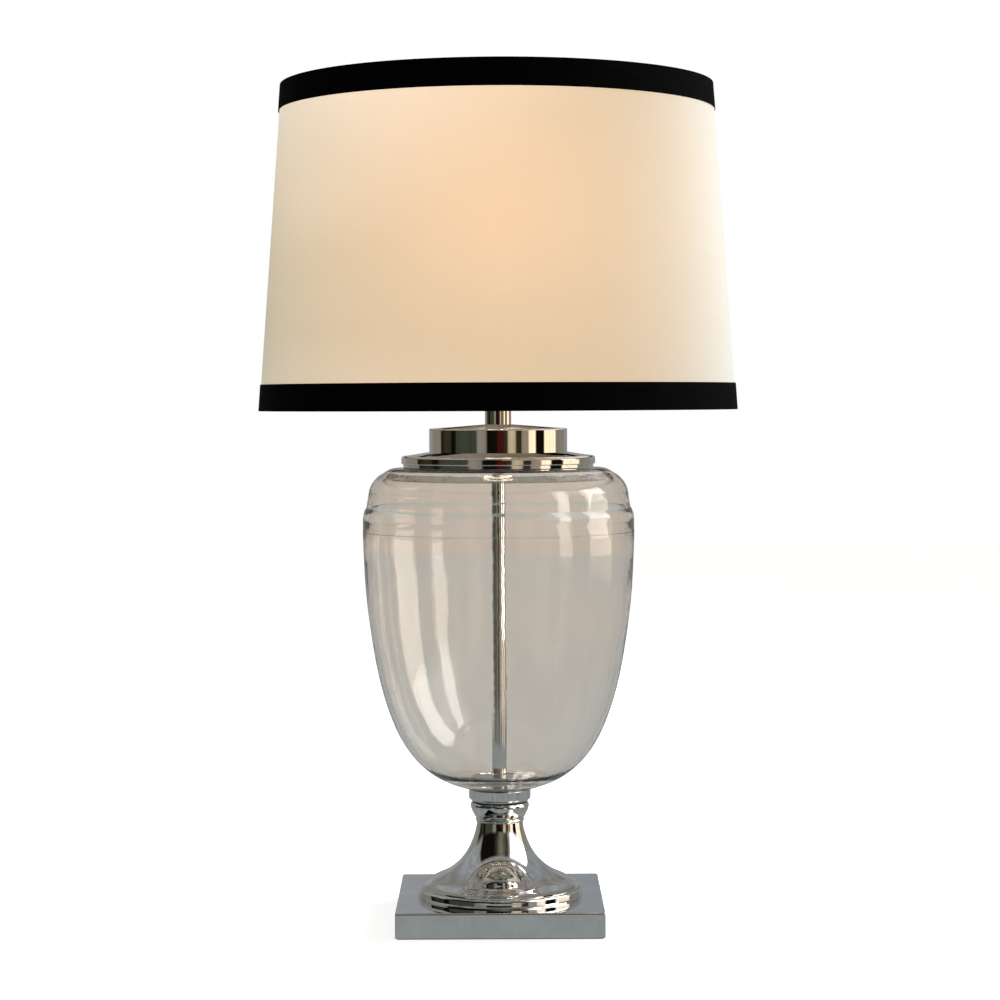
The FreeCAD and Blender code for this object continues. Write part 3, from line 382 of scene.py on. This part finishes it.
def cream_linen():
    """Linen over film, lit from behind: it scatters the bulb's light forward and reflects daylight.

    The cloth's emission is a painted glow, warmer where the cloth faces the eye, that stands for the light
    that has crossed the shade many times. The cloth's back carries less of this painted glow.
    """
    made, n = material("cream_linen")
    over, slub = weave(n, LINEN_PITCH, LINEN_PITCH)
    threads = n.math("MULTIPLY_ADD", over, WEAVE_SHARE, slub)
    tone = n.remap(threads, low=0.6, high=1.4)
    face = n.mix(tone, (0.70, 0.66, 0.58), (0.82, 0.78, 0.70))
    through = n.mix(tone, (0.88, 0.66, 0.53), (0.99, 0.78, 0.65))
    facing = n.add("ShaderNodeLayerWeight", {"Blend": 0.5}).outputs["Facing"]
    # Painted glow: an emission colour that changes with how squarely the cloth faces the eye, times the
    # weave's tone
    glow = n.mix(facing, LINEN_PAINTED_GLOW_FACING, LINEN_PAINTED_GLOW_EDGE)
    glow = n.mix(1.0, glow, n.mix(tone, (0.90, 0.90, 0.89), FULL), "MULTIPLY")
    inside = n.add("ShaderNodeNewGeometry").outputs["Backfacing"]
    strength = n.remap(inside, low=0.0, high=1.0, out_low=1 / CLOTH_SHARE,
                       out_high=PAINTED_INNER_GLOW / CLOTH_SHARE)
    normal = n.bump(threads, distance=0.00010, strength=0.5)
    cloth = n.shade(Base_Color=face, Roughness=0.9, Normal=normal, Sheen_Weight=0.15, Sheen_Roughness=0.5,
                    Emission_Color=glow, Emission_Strength=strength)
    spread = n.add("ShaderNodeBsdfTranslucent", {"Color": through, "Normal": normal}).outputs[0]
    forward = n.add("ShaderNodeBsdfRefraction",
                    {"Color": FORWARD_TINT, "Roughness": 1.0, "IOR": FORWARD_BEND})
    lit = n.add("ShaderNodeMixShader", {0: FORWARD_SHARE, 1: spread, 2: forward.outputs[0]}).outputs[0]
    n.finish(n.add("ShaderNodeMixShader", {0: 1 - CLOTH_SHARE, 1: cloth, 2: lit}).outputs[0])
    return made


FILM_CLEAR_SHARE = 0.72


def shade_film():
    """The white film that the cloth is laminated to, seen from inside the shade."""
    made, n = material("shade_film")
    mottle = n.noise(n.place(), scale=60.0, detail=4.0)
    # The face is painted mid grey, darker than the film's real white: painted shade that dims the shade's
    # inside where the lid mirrors it
    face = n.mix(mottle, (0.50, 0.48, 0.44), (0.60, 0.58, 0.54))
    film = n.shade(Base_Color=face, Roughness=0.5, Normal=n.bump(mottle, distance=0.0001, strength=0.2))
    clear = n.add("ShaderNodeBsdfTransparent", {"Color": (0.97, 0.95, 0.92)}).outputs[0]
    n.finish(n.add("ShaderNodeMixShader", {0: FILM_CLEAR_SHARE, 1: film, 2: clear}).outputs[0])
    return made


RIB_PITCH = 0.0011
RIB_THREAD_PITCH = RIB_PITCH / 3
RIB_THREAD_SHARE = 0.2


def black_ribbon():
    """Grosgrain: fine ribs across the ribbon, with a dense weave between them."""
    made, n = material("black_ribbon")
    u, v, _ = n.add("ShaderNodeSeparateXYZ", {0: n.place("UV")}).outputs
    ribs = n.math("SINE", n.math("MULTIPLY", u, TURN / RIB_PITCH))
    threads = n.math("SINE", n.math("MULTIPLY", v, TURN / RIB_THREAD_PITCH))
    worn = n.noise(n.place("UV", stretch=(1, 4, 1)), scale=60.0, detail=4.0)
    height = n.math("MULTIPLY_ADD", threads, RIB_THREAD_SHARE, ribs)
    tint = n.mix(worn, (0.0006, 0.0006, 0.0008), (0.0022, 0.0021, 0.0022))
    rough = n.remap(worn, low=0.3, high=0.7, out_low=0.7, out_high=0.85)
    normal = n.bump(height, distance=0.00010, strength=0.6)
    n.finish(n.shade(Base_Color=tint, Roughness=rough, Normal=normal, Specular_IOR_Level=0.025))
    return made


MAKERS = (
    polished_chrome, drawn_chrome, zinc_steel, socket_nickel, harp_nickel, plain_brass, cap_aluminium,
    tungsten, solder, cast_iron_weight, black_rubber, clear_gasket, black_phenolic, knob_black, black_glass,
    socket_card, white_wire, black_felt, clear_glass, stem_glass, frosted_glass, cream_linen, shade_film,
    black_ribbon,
)
DRAWN_TUBES = ("tube_sleeve", "neck_tube")


def dress_nodes(made):
    """Gives each CAD node the detailed material of its record slot."""
    for entry in frame["record"]["subparts"]:
        name = entry["node"]
        look = made["drawn_chrome" if name in DRAWN_TUBES else entry["material_slot"]]
        for slot in frame["nodes"][name].material_slots:
            slot.material = look


# ---- meshes ---------------------------------------------------------------------------------------


def add_piece(name, points, faces, uvs, look, body, sharp_deg=40):
    """A smooth mesh piece with UVs in metres, which rides on a body."""
    mesh = bpy.data.meshes.new(name)
    mesh.from_pydata(points, [], faces)
    layer = mesh.uv_layers.new(name="UVMap")
    for loop, uv in zip(layer.data, (uv for face in uvs for uv in face)):
        loop.uv = uv
    mesh.shade_smooth()
    mesh.set_sharp_from_angle(angle=math.radians(sharp_deg))
    mesh.materials.append(look)
    piece = bpy.data.objects.new(name, mesh)
    bpy.context.collection.objects.link(piece)
    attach(piece, body)
    return piece


def revolve(profile, segments, start=BACK, closed=False, radial=None):
    """Points, faces and UVs of a profile of (r, z) swept round the Z axis.

    start is the angle of the first column. radial(angle, r, z) may change the radius.
    """
    rows = len(profile)
    points = []
    for i in range(segments):
        angle = start + TURN * i / segments
        for r, z in profile:
            if radial:
                r = radial(angle, r, z)
            points.append((r * math.cos(angle), r * math.sin(angle), z))
    lengths = [0.0]
    for (r0, z0), (r1, z1) in zip(profile, profile[1:] + profile[:1]):
        lengths.append(lengths[-1] + math.hypot(r1 - r0, z1 - z0))
    widest = max(r for r, _ in profile)
    faces, uvs = [], []
    for i in range(segments):
        j = (i + 1) % segments
        u0, u1 = widest * TURN * i / segments, widest * TURN * (i + 1) / segments
        for k in range(rows if closed else rows - 1):
            m = (k + 1) % rows
            faces.append((i * rows + k, j * rows + k, j * rows + m, i * rows + m))
            uvs.append(((u0, lengths[k]), (u1, lengths[k]), (u1, lengths[k + 1]), (u0, lengths[k + 1])))
    return points, faces, uvs


# ---- shade ----------------------------------------------------------------------------------------

SHADE_SEGMENTS = 256
RIBBON_SEGMENTS = 720
upper_trim, lower_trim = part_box("shade_top_trim"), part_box("shade_bottom_trim")
SHADE_BOTTOM, SHADE_TOP = lower_trim[0][2], upper_trim[1][2]
SHADE_BOTTOM_R = lower_trim[1][0]
RIBBON_H = SHADE_TOP - upper_trim[0][2]
SHADE_SLOPE = (SHADE_BOTTOM_R - upper_trim[1][0]) / (upper_trim[0][2] - SHADE_BOTTOM)


def shade_r(z):
    return SHADE_BOTTOM_R - SHADE_SLOPE * (z - SHADE_BOTTOM)


SEAM_LAP = 0.012
SEAM_STEP = 0.0004
SKIN_DEPTH = 0.0008  # how far the cloth's face lies under the ribbon's face
FILM_DEPTH = 0.0014
SEAM_SOFTNESS = 4
EDGE_MARGIN = 0.0012  # how far the cloth ends short of the shade's edges
SIDE_STEPS = 24
# The slight waves of stretched cloth: depth, waves round the shade, turn, and waves along the height
WAVES = ((0.00018, 5, 0.7, 0), (0.00012, 9, 0.0, 11))


def seam(angle, r, z):
    """The cloth's lap at the back: one end lies over the other, with a soft edge."""
    past = ((angle - BACK) % TURN) * r
    step = max(0.0, 1.0 - abs(past - SEAM_LAP / 2) / (SEAM_LAP / 2)) if past < SEAM_LAP else 0.0
    return r + SEAM_STEP * min(1.0, step * SEAM_SOFTNESS)


def slack(angle, r, z):
    """The seam, and the slight waves of cloth that is stretched round a frame."""
    wave = sum(deep * math.sin(rounds * angle + turn + along * z) for deep, rounds, turn, along in WAVES)
    return seam(angle, r, z) + wave


def conical_cut(r_low, r_high, height):
    """Width, length and area of the flat cut of a cone's side: a sector of a ring, in its bounding box."""
    slant = math.hypot(height, r_low - r_high)
    outer = r_low * slant / (r_low - r_high)
    half = math.pi * r_low / outer
    width = outer - (outer - slant) * math.cos(half)
    length = 2 * outer * math.sin(half)
    return (width, length), math.pi * (r_low + r_high) * slant


def straight(a, b, steps):
    return [(a[0] + (b[0] - a[0]) * i / steps, a[1] + (b[1] - a[1]) * i / steps) for i in range(steps + 1)]


def shade_side(depth):
    low, high = SHADE_BOTTOM + EDGE_MARGIN, SHADE_TOP - EDGE_MARGIN
    return straight((shade_r(low) - depth, low), (shade_r(high) - depth, high), SIDE_STEPS)


def make_linen(look):
    profile = shade_side(SKIN_DEPTH)
    piece = add_piece("shade_linen", *revolve(profile, SHADE_SEGMENTS, radial=slack), look, "shade")
    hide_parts("shade_fabric")
    flat, area = conical_cut(profile[0][0], profile[-1][0], profile[-1][1] - profile[0][1])


def make_film(look):
    profile = shade_side(FILM_DEPTH)
    piece = add_piece("shade_film_skin", *revolve(profile, SHADE_SEGMENTS), look, "shade")
    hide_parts("shade_liner")


RIBBON_T = 0.0005
RIBBON_ROUND = 0.0004
RIBBON_INNER = 0.009
RING_CLEAR = 0.0002
ARM_CLEAR = 0.0006
ARM_COUNT = 3
RIBBON_STEP = 0.0008
LAP_RISE = 0.0003
LAP_SOFT = 0.0004
RIBBON_WAVE = 0.00008


def ring_wire(node):
    """Radius of a frame ring, its height and its wire's radius."""
    low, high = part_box(node)
    wire = (high[2] - low[2]) / 2
    return high[0] - wire, (high[2] + low[2]) / 2, wire


def ribbon_profile(edge, inward, ring):
    """The ribbon's line from its end on the cloth, over the shade's edge and ring, to its end inside."""
    ring_r, ring_z, wire = ring
    outer_end, inner_end = edge + inward * RIBBON_H, edge + inward * RIBBON_INNER
    near = edge + inward * RIBBON_ROUND

    def inner_r(z):
        return ring_r - wire - RING_CLEAR - RIBBON_T + shade_r(z) - shade_r(ring_z)

    def down(a, b):
        return straight(a, b, max(1, round(abs(a[1] - b[1]) / RIBBON_STEP)))

    outer_top, inner_top = (shade_r(near), near), (inner_r(near), near)
    soft = RIBBON_ROUND * (1 - math.sqrt(0.5))
    line = [(shade_r(outer_end) - RIBBON_T, outer_end), (shade_r(outer_end) - RIBBON_T / 4, outer_end)]
    line += down((shade_r(outer_end), outer_end - inward * RIBBON_T / 3), outer_top)
    line += [(outer_top[0] - soft, edge + inward * soft), (outer_top[0] - RIBBON_ROUND, edge)]
    line += [(inner_top[0] + RIBBON_ROUND, edge), (inner_top[0] + soft, edge + inward * soft)]
    line += down(inner_top, (inner_r(inner_end), inner_end))
    return line + [(inner_r(inner_end) + RIBBON_T, inner_end)]


def ribbon_lap(angle, r, z):
    """One end of the ribbon lies over the other at the back."""
    past = ((angle - BACK) % TURN) * r
    lapped = min(1.0, past / LAP_SOFT) if past < SEAM_LAP else 0.0
    return r + LAP_RISE * lapped + RIBBON_WAVE * math.sin(7 * angle + 60 * z)


def clear_of_arms(mesh):
    """Drops the faces of a ribbon where the spider's arms pass through its inner side."""
    points, faces, uvs = mesh
    ring_r, ring_z, wire = ring_wire("shade_top_ring")
    _, hub_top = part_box("spider_hub")
    kept_faces, kept_uvs = [], []
    for face, uv in zip(faces, uvs):
        middle = sum((Vector(points[i]) for i in face), Vector()) / len(face)
        blocked = False
        for k in range(ARM_COUNT):
            turn = BACK + TURN * k / ARM_COUNT
            outer = Vector((math.cos(turn) * (ring_r - wire), math.sin(turn) * (ring_r - wire), ring_z))
            hub = Vector((math.cos(turn) * hub_top[0], math.sin(turn) * hub_top[0], hub_top[2] + wire))
            way = (outer - hub).normalized()
            along = (middle - hub).dot(way)
            off = (middle - hub - way * along).length
            blocked = blocked or (0 < along < (outer - hub).length and off < wire + ARM_CLEAR)
        if not blocked:
            kept_faces.append(face)
            kept_uvs.append(uv)
    return points, kept_faces, kept_uvs


def make_ribbon(name, node, edge, inward, ring_node, look):
    profile = ribbon_profile(edge, inward, ring_wire(ring_node))
    mesh = revolve(profile, RIBBON_SEGMENTS, radial=ribbon_lap)
    piece = add_piece(name, *clear_of_arms(mesh), look, "shade")
    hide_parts(node)
    width = sum(math.dist(a, b) for a, b in zip(profile, profile[1:]))
    area = sum(math.pi * (a[0] + b[0]) * math.dist(a, b) for a, b in zip(profile, profile[1:]))


# ---- felt pad -------------------------------------------------------------------------------------

FELT_CELLS = 48
FELT_BULGE = 0.0003
FELT_DIP = 0.00008
TINY = 1e-6


def make_felt(look):
    """The pressed pad under the base: its cut edge bulges a little, and its faces are not quite flat."""
    low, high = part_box("felt_pad")
    rng = random.Random(4)
    n = FELT_CELLS
    points, faces, uvs = [], [], []
    for z, dip in ((low[2], 0.0), (high[2], -FELT_DIP)):
        for i in range(n + 1):
            for j in range(n + 1):
                x = low[0] + (high[0] - low[0]) * i / n
                y = low[1] + (high[1] - low[1]) * j / n
                points.append((x, y, z + dip * rng.random()))
    count = (n + 1) ** 2

    def flat_uv(face):
        return tuple((points[k][0], points[k][1]) for k in face)

    for i in range(n):
        for j in range(n):
            a, b = i * (n + 1) + j, (i + 1) * (n + 1) + j
            c, d = b + 1, a + 1
            faces += [(a, d, c, b), (a + count, b + count, c + count, d + count)]
            uvs += [flat_uv(faces[-2]), flat_uv(faces[-1])]
    rim = [i * (n + 1) for i in range(n)] + [n * (n + 1) + j for j in range(n)]
    rim += [i * (n + 1) + n for i in range(n, 0, -1)] + [j for j in range(n, 0, -1)]
    middle_z = (low[2] + high[2]) / 2
    start = len(points)
    for k in rim:
        x, y, _ = points[k]
        out = FELT_BULGE * (0.5 + 0.5 * rng.random())
        side = (out if abs(x) > high[0] - TINY else 0.0, out if abs(y) > high[1] - TINY else 0.0)
        points.append((x + math.copysign(side[0], x), y + math.copysign(side[1], y), middle_z))
    for k, here in enumerate(rim):
        after = (k + 1) % len(rim)
        there = rim[after]
        here_out, there_out = start + k, start + after
        faces += [(here, there, there_out, here_out), (here_out, there_out, there + count, here + count)]
        uvs += [flat_uv(faces[-2]), flat_uv(faces[-1])]
    piece = add_piece("felt_sheet", points, faces, uvs, look, "lamp")
    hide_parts("felt_pad")
    side = (high[0] - low[0], high[1] - low[1])


# ---- stage ----------------------------------------------------------------------------------------

# Colours of the room that the polished metal and the glass mirror, by the angle from the camera's side:
# negative to the left, positive to the right. Each stands for a wall, a doorway, a curtain or a window.
GREY = (0.27, 0.255, 0.225)
COOL = (0.32, 0.335, 0.35)
DARK = (0.006, 0.005, 0.004)
OLIVE = (0.035, 0.032, 0.022)
GREEN = (0.052, 0.060, 0.046)
TAUPE = (0.38, 0.32, 0.25)
CREAM = (0.62, 0.52, 0.38)
WINDOW = (1.55, 1.28, 0.98)
RUST = (0.055, 0.004, 0.002)
FOREST = (0.20, 0.20, 0.14)
BRIGHT = (1.7, 1.7, 1.7)
WARM = (0.20, 0.165, 0.12)
ROOM = (
    (-180, COOL), (-150, COOL), (-135, GREY), (-112, GREY), (-110, DARK), (-100, OLIVE), (-86, OLIVE),
    (-84, DARK), (-76, DARK), (-74, GREEN), (-37, GREEN), (-34, GREY), (-20, GREY), (-18, DARK), (8, DARK),
    (10, OLIVE), (15, OLIVE), (17, CREAM), (28, CREAM), (30, OLIVE), (38, OLIVE), (40, TAUPE), (51, TAUPE),
    (53, WINDOW), (64, WINDOW), (66, DARK), (82, DARK), (84, WINDOW), (110, WINDOW), (112, GREY),
    (135, GREY), (150, COOL),
)
ROOM_HIGH = (
    (-180, WARM), (-140, COOL), (-105, COOL), (-88, GREY), (-82, DARK), (-28, DARK), (-16, OLIVE),
    (4, FOREST), (30, OLIVE), (42, TAUPE), (48, BRIGHT), (92, BRIGHT), (104, COOL), (140, COOL),
    (180, WARM),
)
TABLE = (0.285, 0.31, 0.305)
CEILING = (0.34, 0.335, 0.33)
ZENITH = (0.20, 0.20, 0.19)
# Elevations in degrees between which one part of the room goes over into the next
TABLE_TO_WALL = (-8.4, -7.4)
LAMPLIT_TO_PLAIN = (4, 8)
ROOM_TO_HIGH = (13, 19)
WALL_TO_CEILING = (50, 56)
ZENITH_FROM = 64
# A red cushion: where its sides and its lower and upper edges start and end, in degrees
ACCENT_SIDES = (-2, 0, 7, 9)
ACCENT_EDGES = (-5, -4, 2, 3)
CLOUDY = (0.82, 1.18)
# What the camera sees through the glass goes from low to high between these elevations
SEEN_FROM, SEEN_TO = -8, -1
WALL_CROSSINGS = 2  # light that runs inside the glass's wall goes in once and out once
LAMPLIT = (1.0, 0.93, 0.83)
AMBIENT = (0.30, 0.295, 0.285)
SEEN_HIGH = (0.63, 0.54, 0.46)
SEEN_LOW = (0.55, 0.53, 0.485)


def up(degrees):
    """The place of an elevation on a ramp that runs over its sine, from straight down to straight up."""
    return (math.sin(math.radians(degrees)) + 1) / 2


def around(degrees):
    """The place of an angle round the lamp on a ramp that runs from -180 to 180 degrees."""
    return (degrees + 180) / 360


def band(place, edges, colour):
    """Ramp stops that rise from black to a colour and fall again."""
    return [(place(edge), shade) for edge, shade in zip(edges, (BLACK, colour, colour, BLACK))]


def make_world():
    """White to the camera, soft to the lamp, and a furnished room to what mirrors it."""
    world = bpy.data.worlds.new("studio")
    bpy.context.scene.world = world
    world.use_nodes = True
    n = Nodes(world.node_tree)
    way = n.add("ShaderNodeTexCoord").outputs["Generated"]
    x, y, z = n.add("ShaderNodeSeparateXYZ", {0: way}).outputs
    height = n.remap(z, low=-1.0, high=1.0)
    turn = n.math("ARCTAN2", x, n.math("MULTIPLY", y, -1.0))
    share = n.remap(turn, low=-math.pi, high=math.pi)
    low = n.ramp(share, [(around(degrees), colour) for degrees, colour in ROOM])
    red = n.ramp(share, band(around, ACCENT_SIDES, RUST))
    red_band = n.ramp(height, band(up, ACCENT_EDGES, FULL))
    low = n.mix(1.0, low, n.mix(1.0, red, red_band, "MULTIPLY"), "ADD")
    lamplit, plain = LAMPLIT_TO_PLAIN
    low = n.mix(1.0, low, n.ramp(height, ((up(lamplit), LAMPLIT), (up(plain), FULL))), "MULTIPLY")
    high = n.ramp(share, [(around(degrees), colour) for degrees, colour in ROOM_HIGH])
    high_from, high_to = [math.sin(math.radians(degrees)) for degrees in ROOM_TO_HIGH]
    stripes = n.mix(n.remap(z, low=high_from, high=high_to), low, high)
    edges = [up(degrees) for degrees in TABLE_TO_WALL + WALL_TO_CEILING]
    rest = n.ramp(height, (
        (0.0, TABLE), (edges[0], TABLE), (edges[1], BLACK), (edges[2], BLACK), (edges[3], CEILING),
        (up(ZENITH_FROM), ZENITH),
    ))
    wall = n.ramp(height, list(zip(edges, (BLACK, FULL, FULL, BLACK))))
    room = n.mix(1.0, n.mix(1.0, stripes, wall, "MULTIPLY"), rest, "ADD")
    cloudy = n.remap(n.noise(way, scale=6.0, detail=4.0), 0.3, 0.7, *CLOUDY)
    room = n.mix(1.0, room, cloudy, "MULTIPLY")
    through = n.ramp(height, ((up(SEEN_FROM), SEEN_LOW), (up(SEEN_TO), SEEN_HIGH)))
    path = n.add("ShaderNodeLightPath").outputs
    mirrored = n.math("GREATER_THAN", path["Glossy Depth"], 0.5)
    seen = n.mix(path["Is Transmission Ray"], AMBIENT, through)
    seen = n.mix(mirrored, seen, room)
    in_wall = n.math("COMPARE", path["Transmission Depth"], WALL_CROSSINGS, 0.5)
    seen = n.mix(in_wall, seen, through)
    seen = n.mix(path["Is Diffuse Ray"], seen, AMBIENT)
    seen = n.mix(path["Is Camera Ray"], seen, FULL)
    n.finish(n.add("ShaderNodeBackground", {0: seen}).outputs[0], "ShaderNodeOutputWorld")


FLOOR_HALF = 6.0
FLOOR_GLOW = 0.75


def make_floor():
    """A pale floor that the camera sees, softly shaded where the lamp stands on it."""
    made, n = material("pale_floor")
    speckle = n.noise(n.place(), scale=30.0, detail=3.0)
    tint = n.mix(speckle, (0.80, 0.80, 0.80), (0.86, 0.86, 0.86))
    n.finish(n.shade(Base_Color=tint, Roughness=0.9, Emission_Color=FULL, Emission_Strength=FLOOR_GLOW))
    corners = [(x * FLOOR_HALF, y * FLOOR_HALF, 0) for x, y in ((-1, -1), (1, -1), (1, 1), (-1, 1))]
    mesh = bpy.data.meshes.new("floor")
    mesh.from_pydata(corners, [], [(0, 1, 2, 3)])
    mesh.materials.append(made)
    floor = bpy.data.objects.new("floor", mesh)
    floor.visible_glossy = False
    floor.visible_transmission = False
    floor.visible_diffuse = False
    bpy.context.collection.objects.link(floor)


PANEL_DISTANCE = 2.4
PANEL_AIM_Z = 0.4


def add_panel(name, turn_from, turn_to, up_from, up_to, radiance, colour):
    """A soft panel that fills a range of directions seen from the lamp, all in degrees."""
    middle_turn = math.radians((turn_from + turn_to) / 2)
    middle_up = math.radians((up_from + up_to) / 2)
    width = 2 * PANEL_DISTANCE * math.tan(math.radians(turn_to - turn_from) / 2) * math.cos(middle_up)
    height = 2 * PANEL_DISTANCE * math.tan(math.radians(up_to - up_from) / 2)
    data = bpy.data.lights.new(name, "AREA")
    data.shape = "RECTANGLE"
    data.size, data.size_y = width, height
    data.energy = radiance * math.pi * width * height
    data.color = colour
    panel = bpy.data.objects.new(name, data)
    way = Vector((
        math.sin(middle_turn) * math.cos(middle_up), -math.cos(middle_turn) * math.cos(middle_up),
        math.sin(middle_up),
    ))
    panel.location = Vector((0, 0, PANEL_AIM_Z)) + way * PANEL_DISTANCE
    panel.rotation_mode = "QUATERNION"
    panel.rotation_quaternion = (-way).to_track_quat("-Z", "Y")
    panel.visible_camera = False
    bpy.context.collection.objects.link(panel)
    return panel


DAYLIGHT = (0.66, 0.80, 1.0)
WINDOW_LIGHT = (1.0, 0.94, 0.86)
WINDOWS = ((83, 110, 5.2), (52, 64, 4.2))  # from and to, in degrees round the lamp, and radiance
LOWER_PANE, UPPER_PANE = (-9, 9), (9, 45)  # degrees up
LOWER_RADIANCE = 2.6
DAYLIGHT_RADIANCE = 20.0


def make_lights():
    """Windows that the glass and the metal mirror, and the daylight itself, which comes from further back.

    The windows' lower panes are left out of what metal mirrors directly.
    """
    for k, (turn_from, turn_to, radiance) in enumerate(WINDOWS):
        upper = add_panel(f"window_{k}_upper", turn_from, turn_to, *UPPER_PANE, radiance, WINDOW_LIGHT)
        lower = add_panel(f"window_{k}_lower", turn_from, turn_to, *LOWER_PANE, LOWER_RADIANCE,
                          WINDOW_LIGHT)
        lower.visible_glossy = False
        upper.visible_diffuse = lower.visible_diffuse = False
    daylight = add_panel("daylight", turn_from=106, turn_to=140, up_from=-8, up_to=28,
                         radiance=DAYLIGHT_RADIANCE, colour=DAYLIGHT)
    daylight.visible_glossy = daylight.visible_transmission = False


# ---- the scene ------------------------------------------------------------------------------------


def main():
    scene = bpy.context.scene
    scene.view_settings.view_transform = "Standard"
    make_camera()
    make_world()
    make_floor()
    make_lights()
    made = {maker.__name__: maker() for maker in MAKERS}
    dress_nodes(made)
    make_linen(made["cream_linen"])
    make_film(made["shade_film"])
    make_ribbon("ribbon_top", "shade_top_trim", SHADE_TOP, -1, "shade_top_ring", made["black_ribbon"])
    make_ribbon("ribbon_bottom", "shade_bottom_trim", SHADE_BOTTOM, 1, "shade_bottom_ring",
                made["black_ribbon"])
    make_felt(made["black_felt"])


main()
